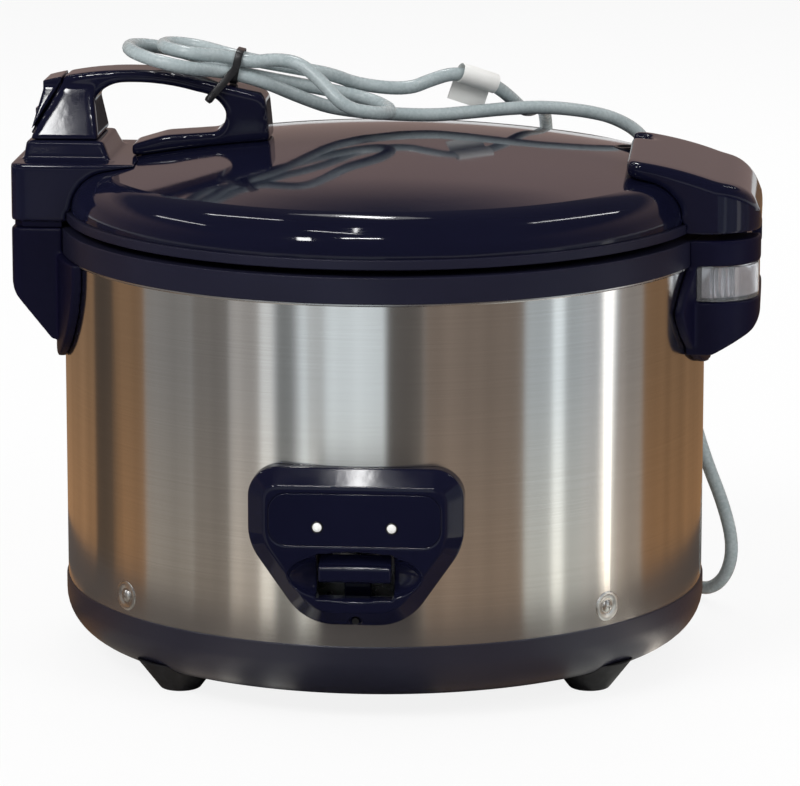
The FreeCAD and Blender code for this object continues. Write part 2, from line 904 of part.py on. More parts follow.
cup_low = bay_low + s.collector_clearance
cup_top = shell_top - s.collector_clearance
cup_reach = hinge_reach - 1


def cup_plan(inset, low, high):
    """A block with the plan of the bay, drawn in by the inset."""
    half = s.hinge_half_width - 1 - inset
    start = s.shell_radius * 0.5
    c = box((start, cup_reach - inset), (-half, half), (low, high))
    edge = (cup_reach - inset).number
    c = round_edges(
        c, s.hinge_corner - 1 - inset, lambda e: is_along(e, "z") and e.CenterOfMass.x > edge - 1
    )
    hug = s.shell_radius + s.saddle_thickness + s.collector_clearance + inset
    return cut(c, rod(hug, "z", (low, high), (0, 0)))


cup = cut(cup_plan(0, cup_low, cup_top), cup_plan(s.collector_wall, cup_low + s.collector_wall, cup_top))
piece("dew_collector", cup)

# Tray and shell, now that their screws are known

piece("base_tray", cut(tray, shell_screws, cover_screws, panel_screw))
shell = cut(shell, front_opening, rear_opening, shell_screws, bracket_screws, panel_screw)
piece("body_shell", shell)
piece("shell_screws", shell_screws)

# Lid: a domed cover on a flange, with the inner lid, its gasket and its knob underneath

crown_edge = (s.lid_radius - s.lid_shoulder) / (1 - s.lid_shoulder / s.dome_radius)
crown_drop = (s.dome_radius * s.dome_radius - crown_edge * crown_edge).root()
edge_cosine = crown_drop / s.dome_radius
shoulder_z = flange_top + s.lid_side
edge_z = shoulder_z + s.lid_shoulder * edge_cosine
crown = edge_z + s.dome_radius - crown_drop
inner_edge = crown_edge * (1 - s.lid_wall / s.dome_radius)
inner_edge_z = edge_z - s.lid_wall * edge_cosine
lid_shell = turned([
    (s.lid_radius - s.lid_wall, flange_top),
    (s.lid_radius, flange_top),
    (s.lid_radius, shoulder_z, s.lid_shoulder, 1),
    (crown_edge, edge_z, s.dome_radius, 1),
    (0, crown),
    (0, crown - s.lid_wall, s.dome_radius - s.lid_wall, -1),
    (inner_edge, inner_edge_z, s.lid_shoulder - s.lid_wall, -1),
    (s.lid_radius - s.lid_wall, shoulder_z),
])
lid_envelope = turned([
    (0, lid_bottom),
    (s.flange_radius, lid_bottom),
    (s.flange_radius, flange_top),
    (s.lid_radius, flange_top),
    (s.lid_radius, shoulder_z, s.lid_shoulder, 1),
    (crown_edge, edge_z, s.dome_radius, 1),
    (0, crown),
])
floor_top = lid_bottom + s.lid_floor
spigot_low = pot_rim + s.gasket_clearance + s.inner_lid_thickness + 2
lid_flange = turned([
    (0, lid_bottom),
    (s.spigot_radius - s.lid_wall, lid_bottom),
    (s.spigot_radius - s.lid_wall, spigot_low),
    (s.spigot_radius, spigot_low),
    (s.spigot_radius, lid_bottom),
    (s.flange_radius, lid_bottom),
    (s.flange_radius, flange_top),
    (s.lid_radius - s.lid_wall, flange_top),
    (s.lid_radius - s.lid_wall, floor_top),
    (0, floor_top),
])
gasket_low = pot_rim + s.gasket_clearance
gasket = turned([
    (s.spigot_radius, gasket_low),
    (s.gasket_radius, gasket_low),
    (s.gasket_radius, lid_bottom),
    (s.spigot_radius, lid_bottom),
])
inner_low = spigot_low - s.inner_lid_thickness
inner_lid = turned([
    (0, inner_low),
    (s.spigot_radius, inner_low),
    (s.spigot_radius, spigot_low),
    (0, spigot_low),
])
stud = s.knob_radius / 3
knob = turned([
    (0, inner_low - s.knob_height),
    (s.knob_radius, inner_low - s.knob_height),
    (s.knob_radius, inner_low),
    (stud, inner_low),
    (stud, floor_top),
    (0, floor_top),
])
piece("lid_gasket", gasket)
piece("inner_lid_knob", knob)

# Steam vent at the nose of the hinge cover

vent_at = (s.vent_x, s.vent_y)
vent_distance = (s.vent_x * s.vent_x + s.vent_y * s.vent_y).root()
vent_top = edge_z - crown_drop + (s.dome_radius * s.dome_radius - vent_distance * vent_distance).root()
vent_span = (lid_bottom, vent_top + s.vent_proud)
vent_outside = rod(s.vent_radius, "z", vent_span, vent_at)
vent_bore = rod(s.vent_radius - s.vent_wall, "z", (inner_low, vent_top + s.vent_proud), vent_at)
piece("steam_vent", cut(vent_outside, vent_bore))
piece("lid_cover", cut(lid_shell, vent_outside))
piece("lid_flange", cut(lid_flange, vent_outside, knob))
piece("inner_lid", cut(inner_lid, vent_bore, knob))

# Handle: a block over the latch bracket, a collar, a tapered post and a loop grip that comes down on the dome


def frustum(low, high, z):
    """A four-sided taper. Each end is (left, right, half width), and z is the pair of their heights."""
    w = fresh("Part::Wedge")
    for end, (left, right, half) in (("", low), ("2", high)):
        bind(w, f"X{end}min", left)
        bind(w, f"X{end}max", right)
        bind(w, f"Z{end}min", -half)
        bind(w, f"Z{end}max", half)
    bind(w, "Ymin", z[0])
    bind(w, "Ymax", z[1])
    w.Placement = FreeCAD.Placement(V(), FreeCAD.Rotation(V(1, 0, 0), 90))
    return w


block_top = lid_bottom + s.block_height
collar_top = block_top + s.collar_height
post_top = collar_top + s.post_height
block = box(
    (-latch_reach, -s.block_inner),
    (-s.latch_half_width, s.latch_half_width),
    (lid_bottom, block_top),
)
block = round_edges(block, s.block_edge, lambda e: is_along(e, "z") and e.CenterOfMass.x < outer_left + 1)
collar = frustum(
    (-s.collar_left, -s.collar_right, s.collar_half_width),
    (-s.collar_left + 1, -s.collar_right - s.collar_slope, s.collar_half_width - s.collar_slope),
    (block_top, collar_top),
)
arm_slot = box(
    (arm_left - s.lever_gap, arm_right + s.lever_swing),
    (-slot_half_width, slot_half_width),
    (lid_bottom, post_top - s.post_height * 0.4),
)
lever_pin_z = block_top + s.lever_pin_lift
spring_half = s.lever_half_width + s.lever_thickness * 0.75
spring_bay = box(
    (arm_left - s.lever_gap, arm_right + s.lever_gap),
    (-spring_half, spring_half),
    (lever_pin_z - s.lever_thickness, collar_top),
)
pin_reach = spring_half + s.lever_thickness
latch_pin = rod(s.lever_pin_radius, "y", (-pin_reach, pin_reach), (-lever_pin_x, lever_pin_z))
housing_block = cut(fuse(cut(block, lid_envelope), collar), arm_slot, spring_bay, latch_pin)
piece("latch_housing", cut(housing_block, lid_envelope))
piece("latch_pin", latch_pin)


def spring_coil(side):
    """One torsion spring of the latch lever, as a sleeve on its pin."""
    ends = sorted((s.lever_half_width * side, spring_half * side), key=lambda size: size.number)
    span = (ends[0] + s.knuckle_gap / 2, ends[1] - s.knuckle_gap / 2)
    at = (-lever_pin_x, lever_pin_z)
    outside = rod(s.lever_pin_radius * 1.6, "y", span, at)
    return cut(outside, rod(s.lever_pin_radius, "y", span, at))


piece("latch_spring", group(spring_coil(-1), spring_coil(1)))

post = frustum(
    (-s.post_left, -s.post_right, s.post_half_width),
    (-s.post_top_left, -s.post_top_right, s.grip_half_width),
    (collar_top, post_top),
)
ridge_top = block_top + s.ridge_height
finger_top = block_top + s.finger_top
crest = block_top + s.grip_crest
loop = slab("XZ_Plane", [
    (-s.grip_left, post_top - 8),
    (-s.grip_left, crest - 5, s.grip_crown_radius, -1),
    (-s.grip_left + 84, crest),
    (-s.grip_end, crest - s.grip_fall),
    (-s.grip_end + 3, crest - s.grip_fall - 3.5),
    (-s.grip_right, lid_bottom),
    (-s.ridge_left, lid_bottom),
    (-s.ridge_left, ridge_top - 8.5),
    (-s.ridge_left + 20, ridge_top - 2.5),
    (-s.finger_right - 7, ridge_top, 12, 1),
    (-s.finger_right, ridge_top + 12.5, 20, 1),
    (-s.finger_right - 17, finger_top - 5.5, 140, 1),
    (-s.finger_left + 17, finger_top, 22, 1),
    (-s.finger_left, post_top - 8),
], s.grip_half_width)
grip_whole = cut(fuse(post, loop), lid_envelope, collar, block, arm_slot)


def outside_split(shift, low):
    """The space above a level and outside the line that parts the lever from the grip."""
    far = -latch_reach * 2
    return slab("XZ_Plane", [
        (far, low),
        (-s.post_left + 0.5 + shift, low),
        (-s.lever_top + shift, crest - 4.5),
        (-s.lever_top + shift, crest + s.post_height),
        (far, crest + s.post_height),
    ], s.post_half_width * 2)


piece("handle_grip", cut(grip_whole, outside_split(0, collar_top)))
lever_face = common(fuse(post, loop), outside_split(-s.lever_gap, collar_top + s.lever_gap * 2.5))
lever_arm = box(
    (arm_left, arm_right),
    (-s.lever_half_width, s.lever_half_width),
    (hook_low, post_top - s.post_height * 0.45),
)
lever_bore = rod(
    s.lever_pin_radius + s.pin_clearance, "y", (-pin_reach, pin_reach), (-lever_pin_x, lever_pin_z)
)
piece("latch_lever", cut(fuse(lever_face, lever_arm), lever_bore))

# Hinge cover with the knuckle under it


def hood(inset, corners):
    """The plan of the hinge cover, drawn in by the inset, under a side outline."""
    half = s.hinge_half_width - inset
    side = slab("XZ_Plane", corners, half)
    plan = box((s.cover_nose, hinge_reach - inset), (-half, half), (lid_bottom, crest))
    middle = s.shell_radius.number
    plan = round_edges(
        plan, s.hinge_corner - inset, lambda e: is_along(e, "z") and e.CenterOfMass.x > middle
    )
    plan = round_edges(plan, s.nose_corner, lambda e: is_along(e, "z") and e.CenterOfMass.x < middle - 40)
    return common(plan, side)


hood_top = lid_bottom + s.cover_height
hood_end = lid_bottom + s.cover_end_height
cavity_nose = s.shell_radius + s.saddle_thickness
turn_top = hood_top - s.cover_fall
cover_solid = hood(0, [
    (s.cover_nose, lid_bottom),
    (s.cover_nose, hood_top, s.cover_crown_radius, -1),
    (hinge_reach - s.cover_turn, turn_top, s.cover_turn_radius, -1),
    (hinge_reach, hood_end),
    (hinge_reach, lid_bottom),
])
cavity = hood(s.cover_wall, [
    (cavity_nose, lid_bottom),
    (cavity_nose, turn_top - s.cover_wall),
    (hinge_reach - s.cover_turn, turn_top - s.cover_wall, s.cover_turn_radius, -1),
    (hinge_reach - s.cover_wall, hood_end),
    (hinge_reach - s.cover_wall, lid_bottom),
])
vent_notch = box(
    (s.cover_nose - 10, s.vent_x + s.vent_radius + 8),
    (s.vent_y - s.vent_radius - 1, s.vent_y + s.vent_radius + 1),
    (lid_bottom, hood_top),
)
piece("hinge_cover", cut(cover_solid, lid_envelope, cavity, vent_notch))
knuckle_span = (-s.knuckle_half_width, s.knuckle_half_width)
knuckle = rod(s.knuckle_radius, "y", knuckle_span, (pin_x, pin_z))
stem = box((pin_x - s.knuckle_radius, pin_x + s.knuckle_radius * 0.6), knuckle_span, (pin_z, hood_top))
stem_low_part = box(
    (pin_x - s.knuckle_radius, pin_x + s.knuckle_radius * 0.6), knuckle_span, (pin_z, lid_bottom)
)
pin_bore = rod(s.pin_radius + s.pin_clearance, "y", knuckle_span, (pin_x, pin_z))
piece("hinge_knuckle", cut(fuse(knuckle, stem_low_part, common(stem, cavity)), pin_bore))

# Cook lever: paddle, neck, leg and arm on one pivot, and what carries it

paddle_back = -panel_reach + s.paddle_reach
neck_z = (paddle_low + paddle_top) / 2
half_arm = s.arm_thickness / 2
leg_y = s.leg_clearance - inner_base
arm_span = (s.arm_height - half_arm, s.arm_height + half_arm)
paddle = slab("YZ_Plane", [
    (paddle_back, paddle_low),
    (paddle_back, paddle_top),
    (-panel_reach + s.paddle_chin, paddle_top - s.paddle_slope + s.paddle_chin, s.paddle_chin, 1),
    (-panel_reach, paddle_top - s.paddle_slope),
    (-panel_reach, paddle_low + s.paddle_chin, s.paddle_chin, 1),
    (-panel_reach + s.paddle_chin, paddle_low),
], s.paddle_half_width)
arm_x = (-s.arm_half_width, s.arm_half_width)
neck = box(arm_x, (paddle_back - 1, leg_y + s.arm_thickness), (neck_z - half_arm, neck_z + half_arm))
leg = box(arm_x, (leg_y, leg_y + s.arm_thickness), (arm_span[0], neck_z + half_arm))
arm = box(arm_x, (leg_y, s.arm_half_width), arm_span)
pivot_at = (s.pivot_y, s.arm_height)
lever_hole = rod(s.pivot_radius + s.pin_clearance, "x", arm_x, pivot_at)
piece("cook_lever", cut(fuse(paddle, neck, leg, arm), lever_hole))

rod_low = s.arm_height + half_arm + s.seat_clearance
piece("magnet_rod", rod(s.rod_radius, "z", (rod_low, housing_floor + s.housing_wall), (0, 0)))

ear_inside = s.arm_half_width + s.ear_gap
ear_outside = ear_inside + s.ear_thickness
switch_pin = rod(s.pivot_radius, "x", (-ear_outside, ear_outside), pivot_at)
ear_y = (s.pivot_y - s.ear_half_depth, s.pivot_y + s.ear_half_depth)
ear_top = s.arm_height + s.ear_half_depth
foot_top = cover_top + s.ear_thickness
switch_right = ear_outside + s.switch_width
switch_y = (s.pivot_y - s.switch_half_depth, s.pivot_y + s.switch_half_depth)
foot_plate = box((-switch_right, switch_right), switch_y, (cover_top, foot_top))
ears = [
    box((-ear_outside, -ear_inside), ear_y, (cover_top, ear_top)),
    box((ear_inside, ear_outside), ear_y, (cover_top, ear_top)),
]
piece("switch_bracket", cut(fuse(foot_plate, *ears), switch_pin))
piece("switch_pin", switch_pin)
piece("micro_switch", box((ear_outside, switch_right), switch_y, (foot_top, foot_top + s.switch_height)))

# Where the cord comes in: terminal block, inlet cover and gland

terminal_low = s.foot_height + s.base_wall
piece("terminal_block", box(
    (s.inlet_x - s.terminal_width / 2, s.inlet_x + s.terminal_width / 2),
    (s.terminal_y - s.terminal_depth / 2, s.terminal_y + s.terminal_depth / 2),
    (terminal_low, terminal_low + s.terminal_height),
))
inlet_right = s.inlet_x + s.inlet_half_width
inlet_x_span = (s.inlet_x - s.inlet_half_width, inlet_right)
inlet_z_span = (s.inlet_height - s.inlet_half_height, s.inlet_height + s.inlet_half_height)
inlet = box(inlet_x_span, (s.shell_radius / 2, inlet_reach), inlet_z_span)
inlet = round_edges(inlet, s.bracket_edge, lambda e: e.CenterOfMass.y > inlet_reach.number - 1)
inlet_room = box(
    (inlet_x_span[0] + s.inlet_wall, inlet_right - s.inlet_wall),
    (s.shell_radius / 2, inlet_reach - s.inlet_wall),
    (inlet_z_span[0] + s.inlet_wall, inlet_z_span[1] - s.inlet_wall),
)
gland_at = (s.gland_y, s.inlet_height)
gland_root = rod(s.cord_diameter * 0.75, "x", (inlet_right - s.inlet_wall, inlet_right), gland_at)
gland_end = inlet_right + s.gland_length
gland_cone = rod(s.gland_radius, "x", (inlet_right, gland_end), gland_at, s.gland_radius * 0.75)
piece("inlet_cover", cut(inlet, body_core, inlet_room, gland_root))
piece("cord_gland", fuse(gland_root, gland_cone))

# Mains cord: from the gland down to the floor, up over the lid, and tied into a hank

RUN_SHARE = 0.45
cord_radius = s.cord_diameter.number / 2


def path_along(points):
    """Straight runs joined by tangent arcs, each arc as large as its two runs allow."""
    edges = []
    radii = []
    start = points[0]
    for before, corner, after in zip(points, points[1:], points[2:]):
        back = before - corner
        on = after - corner
        half_turn = (math.pi - back.getAngle(on)) / 2
        reach = RUN_SHARE * min(back.Length, on.Length)
        radius = reach / math.tan(half_turn)
        back.normalize()
        on.normalize()
        inward = (back + on).normalize()
        middle = corner + inward * (radius / math.cos(half_turn) - radius)
        edges.append(Part.LineSegment(start, corner + back * reach).toShape())
        edges.append(Part.Arc(corner + back * reach, middle, corner + on * reach).toShape())
        radii.append(radius)
        start = corner + on * reach
    edges.append(Part.LineSegment(start, points[-1]).toShape())
    return Part.Wire(edges), radii


def cord_stretch(label, points):
    """A round tube along a route. Prints its length, its tightest bend and how true its volume is."""
    wire, radii = path_along(points)
    ring = Part.Wire(Part.Circle(points[0], points[1] - points[0], cord_radius).toShape())
    feature = fresh("Part::Feature")
    feature.Shape = wire.makePipeShell([ring], True, False)
    expected = math.pi * cord_radius**2 * wire.Length
    print(
        f"{label}: {wire.Length:.0f} mm, least radius {min(radii):.1f} mm,",
        f"volume over section times length {feature.Shape.Volume / expected:.4f}",
    )
    print("  radii:", " ".join(f"{r:.0f}" for r in radii))
    piece(label, feature)
    return wire


def parting(a, b, share):
    """The place on a run where one stretch ends and the next begins."""
    return a + (b - a) * share


riser_route = [
    V(gland_end.number, s.gland_y.number, s.inlet_height.number),
    V(98, 203, 68),
    V(120, 198.5, 63),
    V(141, 186, 52),
    V(159, 168.5, 36),
    V(174, 150, 18),
    V(188, 132, 7),
    V(203, 113, 6.5),
    V(215, 99, 20),
    V(219, 94, 42),
    V(212, 100, 68),
    V(200, 110, 95),
    V(190, 119, 125),
    V(182, 124, 158),
    V(175, 128.5, 186),
    V(170, 130, 216),
    V(167.3, 129.2, 240),
]
lid_route = [
    V(166, 128.4, 285),
    V(156.2, 120.9, 306.7),
    V(139, 107.6, 319.2),
    V(119.9, 92.8, 325.7),
    V(97, 78, 330),
    V(74, 65.5, 330.8),
    V(48, 54, 329.5),
    V(22, 45, 328.2),
]
tail_route = [
    V(10, 47.5, 344.5),
    V(25, 51, 350.5),
    V(39, 55, 354.5),
    V(54, 60.5, 351),
    V(66, 69.5, 343.5),
    V(74, 82, 334.5),
    V(79, 99, 326),
    V(83, 121, 321),
    V(88, 156, 319),
    V(90, 186, 310.5),
    V(90, 208, 291),
    V(90, 220, 264),
    V(90, 223, 236),
    V(90, 223, 212),
]

# Hank: an outer and an inner loop, drawn in at the waist, and an arched strand between the layers

waist = V(-93, 0, 360.6)
HANK_SLOPE = math.radians(13.4)
hank_along = V(math.cos(HANK_SLOPE), 0, -math.sin(HANK_SLOPE))
hank_up = V(math.sin(HANK_SLOPE), 0, math.cos(HANK_SLOPE))
WAIST_STEP = 9.6
strand = WAIST_STEP / 2
NECK = 8.0


def on_hank(along, across, above):
    return waist + hank_along * along + V(0, across, 0) + hank_up * above


def fold(centre, radius, spread, count, above, droop):
    """Corners of a round end, taken clockwise. The strands part at the spread angle and the end droops."""
    first = math.radians(90 + spread) if centre > 0 else math.radians(spread - 90)
    step = math.radians(180 + 2 * spread) / count
    out = radius / math.cos(step / 2)
    corners = []
    for k in range(count):
        angle = first - step * (k + 0.5)
        along = centre + out * math.cos(angle)
        level = above - droop * (abs(along) - NECK)
        corners.append(on_hank(along, out * math.sin(angle), level))
    return corners


OUTER_FOLD = {"centre": -40.5, "radius": 28.0, "spread": 50, "count": 6, "droop": 0.0}
INNER_FOLD = {"centre": -31.0, "radius": 17.0, "spread": 35, "count": 6, "droop": 0.08}
RIGHT_FOLD = {"centre": 71.5, "radius": 27.0, "spread": 20, "count": 5, "droop": 0.0}
ARCH = ((55, -21, 11), (39, -17, 18.5), (24, -11, 16.5), (NECK, -strand, WAIST_STEP))
hank_route = [on_hank(66, 25, -11.5), on_hank(42, 6, -6), on_hank(18, -strand, 0)]
for layer, left_fold in enumerate((OUTER_FOLD, INNER_FOLD)):
    above = layer * WAIST_STEP
    hank_route.append(on_hank(-NECK, -strand, above))
    hank_route += fold(above=above, **left_fold)
    hank_route += [on_hank(-NECK, strand, above), on_hank(NECK, strand, above)]
    if layer == 0:
        hank_route += fold(above=above, **RIGHT_FOLD)
        hank_route += [on_hank(*spot) for spot in ARCH]
hank_route += [on_hank(40, 13, 10.5), on_hank(57, 25, 9.8), on_hank(74, 40, 5)]

riser_end = parting(riser_route[-1], lid_route[0], 0.45)
lid_end = parting(lid_route[-1], hank_route[0], 0.5)
hank_end = parting(hank_route[-1], tail_route[0], 0.5)
cord_stretch("cord_riser", riser_route + [riser_end])
cord_stretch("cord_lid_run", [riser_end] + lid_route + [lid_end])
hank_wire = cord_stretch("cord_hank", [lid_end] + hank_route + [hank_end])
cord_stretch("cord_tail", [hank_end] + tail_route)


def least_self_gap(wire):
    """The least clear space between two turns of the same tube, measured on points along it."""
    count = int(wire.Length)
    spots = wire.discretize(count)
    apart = int(s.cord_diameter.number * 3)
    return min(
        (spots[i] - spots[j]).Length for i in range(count) for j in range(i + apart, count)
    ) - s.cord_diameter.number


print(f"cord_hank: least gap to itself {least_self_gap(hank_wire):.2f} mm")

# Tie at the waist of the hank: a strap round the four strands, its end and its lock


def strap_between(a, b):
    """A flat strap from one point to another, as wide as the tie."""
    bar = fresh("Part::Box")
    bar.Length = (b - a).Length
    bind(bar, "Width", s.tie_width)
    bind(bar, "Height", s.tie_thickness)
    turn = FreeCAD.Rotation(b - a, hank_along, V(), "XYZ")
    corner = a - turn.multVec(V(0, s.tie_width.number / 2, 0))
    bar.Placement = FreeCAD.Placement(corner, turn)
    return bar


tie_room = cord_radius + s.tie_clearance
tie_inside = strand + tie_room
tie_outside = tie_inside + s.tie_thickness
tie_low = -tie_room
tie_high = WAIST_STEP + tie_room
half_tie = s.tie_width / 2
strap_z = (tie_low - s.tie_thickness, tie_high + s.tie_thickness)
strap = cut(
    box((-half_tie, half_tie), (-tie_outside, tie_outside), strap_z),
    box((-s.tie_width, s.tie_width), (-tie_inside, tie_inside), (tie_low, tie_high)),
)
strap.Placement = FreeCAD.Placement(waist, FreeCAD.Rotation(V(0, 1, 0), math.degrees(HANK_SLOPE)))
STRAP_END = (V(-93, -10.4, 364), V(-99, -18, 357), V(-108, -19, 346.5))
strap_end = [strap_between(a, b) for a, b in zip(STRAP_END, STRAP_END[1:])]
lock_at = STRAP_END[-1]
lock = box(
    (lock_at.x - half_tie, lock_at.x + s.tie_width),
    (lock_at.y - half_tie, lock_at.y + half_tie),
    (lock_at.z - half_tie, lock_at.z + half_tie),
)
piece("cord_tie", fuse(strap, lock, *strap_end))

# Tag on the tail: a sleeve round the cord and a bare flag behind it

tag_before, tag_corner, tag_after = tail_route[2:5]
tag_inward = ((tag_before - tag_corner).normalize() + (tag_after - tag_corner).normalize()).normalize()
tag_at = tag_corner + tag_inward * s.tag_inset.number
tag_axis = (tag_after - tag_before).normalize()
tag_rear = V(0, 0, 1).cross(tag_axis).normalize()
sleeve_inside = cord_radius + s.tag_clearance
sleeve_wall = s.tie_thickness / 2
sleeve_outside = sleeve_inside + sleeve_wall
half_sleeve = s.tag_length * 0.3
sleeve_span = (-half_sleeve, half_sleeve)
flag_y = (sleeve_inside + sleeve_wall / 3, sleeve_outside + sleeve_wall / 3)
flag = box((-s.tag_length / 2, s.tag_length / 2), flag_y, (-s.tag_drop, s.tie_width))
sleeve = rod(sleeve_outside, "x", sleeve_span, (0, 0))
sleeve_hole = rod(sleeve_inside, "x", sleeve_span, (0, 0))
tag = cut(fuse(sleeve, flag), sleeve_hole)
tag.Placement = FreeCAD.Placement(tag_at, FreeCAD.Rotation(tag_axis, tag_rear, V(), "XYZ"))
piece("cord_tag", tag)

# Plug that hangs behind the lid

plug_at = (tail_route[-1].x, tail_route[-1].y)
plug_top = tail_route[-1].z
plug_neck = plug_top - s.plug_radius
plug_face = plug_neck - s.plug_length
pin_span = (plug_face - s.plug_pin_length, plug_face)
pins = []
for side in (-1, 1):
    pin_at = (plug_at[0] + s.plug_pin_spread * side, plug_at[1])
    pins.append(rod(s.plug_pin_radius, "z", pin_span, pin_at))
neck_cone = rod(s.plug_radius * 0.6, "z", (plug_neck, plug_top), plug_at, s.cord_diameter * 0.65)
plug_body = rod(s.plug_radius, "z", (plug_face, plug_neck), plug_at)
piece("plug", fuse(plug_body, neck_cone, *pins))

# Every feature has to be sound before the sub-parts are written

doc.recompute()
for thing in doc.Objects:
    if "Invalid" in thing.State or "Error" in thing.State:
        raise RuntimeError(f"{thing.Label} failed: {thing.State}")
for thing in pieces:
    if thing.Shape.isNull() or not thing.Shape.isValid():
        raise RuntimeError(f"{thing.Label} has no sound shape")
    thing.Shape.exportStep(f"parts/{thing.Label}.step")
print(len(pieces), "sub-parts written")
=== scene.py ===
# %% [markdown]
# A large rice cooker, dressed for a product picture. The imported model is loaded first, as a frame that never
# moves. Every piece made below sits in that same frame, in metres, so nothing has to be fitted by eye.

# %% Load the frame
import json
import math

import bpy
from mathutils import Matrix, Vector
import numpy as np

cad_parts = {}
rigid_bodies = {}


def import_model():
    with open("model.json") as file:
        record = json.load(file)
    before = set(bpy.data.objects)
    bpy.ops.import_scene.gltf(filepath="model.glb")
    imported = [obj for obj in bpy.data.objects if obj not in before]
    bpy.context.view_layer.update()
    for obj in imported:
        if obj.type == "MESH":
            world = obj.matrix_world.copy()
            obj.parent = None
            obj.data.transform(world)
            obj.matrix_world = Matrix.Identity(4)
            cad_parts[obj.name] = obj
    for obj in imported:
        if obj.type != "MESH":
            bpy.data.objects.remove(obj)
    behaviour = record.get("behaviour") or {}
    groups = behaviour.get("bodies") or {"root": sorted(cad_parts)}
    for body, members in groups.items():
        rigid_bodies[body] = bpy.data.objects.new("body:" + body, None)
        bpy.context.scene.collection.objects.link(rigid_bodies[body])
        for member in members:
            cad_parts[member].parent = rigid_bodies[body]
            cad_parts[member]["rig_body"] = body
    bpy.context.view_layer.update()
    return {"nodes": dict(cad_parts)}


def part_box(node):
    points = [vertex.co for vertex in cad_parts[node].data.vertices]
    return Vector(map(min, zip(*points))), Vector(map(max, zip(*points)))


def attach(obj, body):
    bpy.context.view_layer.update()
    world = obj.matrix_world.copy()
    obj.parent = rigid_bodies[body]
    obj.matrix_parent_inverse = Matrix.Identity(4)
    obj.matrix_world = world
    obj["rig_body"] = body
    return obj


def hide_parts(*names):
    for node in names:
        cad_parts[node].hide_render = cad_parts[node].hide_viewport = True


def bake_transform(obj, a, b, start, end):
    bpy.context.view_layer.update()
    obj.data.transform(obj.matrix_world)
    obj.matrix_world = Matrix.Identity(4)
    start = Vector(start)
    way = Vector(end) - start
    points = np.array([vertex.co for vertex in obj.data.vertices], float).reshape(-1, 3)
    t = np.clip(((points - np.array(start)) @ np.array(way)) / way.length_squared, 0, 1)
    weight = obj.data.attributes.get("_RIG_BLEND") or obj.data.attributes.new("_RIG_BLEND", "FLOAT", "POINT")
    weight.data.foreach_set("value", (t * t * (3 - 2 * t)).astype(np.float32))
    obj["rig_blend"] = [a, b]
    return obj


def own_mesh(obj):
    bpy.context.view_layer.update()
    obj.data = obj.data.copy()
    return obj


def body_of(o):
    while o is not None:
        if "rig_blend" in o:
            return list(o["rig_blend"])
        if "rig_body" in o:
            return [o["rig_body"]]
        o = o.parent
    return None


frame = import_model()
nodes = frame["nodes"]

# %% [markdown]
# The camera stands about three metres in front of the cooker, a little to its right, and looks down on it by
# some twelve degrees. That far away a long lens is needed, which is why the drum's sides look almost parallel.
# The lens is shifted by a few pixels, because the cooker doesn't stand quite in the middle of the picture.

# %% Camera
PICTURE_WIDTH = 800
SENSOR_WIDTH = 36
FOCAL_PIXELS = 4838.3
CAMERA_DISTANCE = 3.0427
CAMERA_DOWN = math.radians(11.888)
CAMERA_ROUND = math.radians(4.886)
CAMERA_TARGET = Vector((0, 0, 0.16333))
# The shift of the lens, in pixels
SHIFT_RIGHT = 15.05
SHIFT_UP = -7.08

back = Vector((
    math.sin(CAMERA_ROUND) * math.cos(CAMERA_DOWN),
    -math.cos(CAMERA_ROUND) * math.cos(CAMERA_DOWN),
    math.sin(CAMERA_DOWN),
))
bpy.ops.object.select_all(action="DESELECT")
bpy.ops.object.camera_add(location=CAMERA_TARGET + back * CAMERA_DISTANCE)
camera = bpy.context.object
camera.name = "camera"
camera.rotation_euler = back.to_track_quat("Z", "Y").to_euler()
camera.data.sensor_width = SENSOR_WIDTH
camera.data.lens = FOCAL_PIXELS / PICTURE_WIDTH * SENSOR_WIDTH
camera.data.shift_x = SHIFT_RIGHT / PICTURE_WIDTH
camera.data.shift_y = SHIFT_UP / PICTURE_WIDTH
bpy.context.scene.camera = camera
print("camera at", [round(x, 3) for x in camera.location], "lens", round(camera.data.lens, 1))

# %% [markdown]
# Finishes are made of shader nodes. To keep their maths readable, one small class wraps a node's socket, so
# that an ordinary expression such as 1 - mask adds the Math nodes it needs. Every other node comes from one
# method, which sets the node's own settings first and then the values or links of its sockets.

# %% Wires between shader nodes
def feed(socket, value):
    """Links a wire to a socket, or writes a plain value into it. A colour gets its fourth part, which is 1."""
    if isinstance(value, Wire):
        socket.id_data.links.new(value.socket, socket)
    elif socket.type == "RGBA":
        socket.default_value = (*value, 1)
    else:
        socket.default_value = value


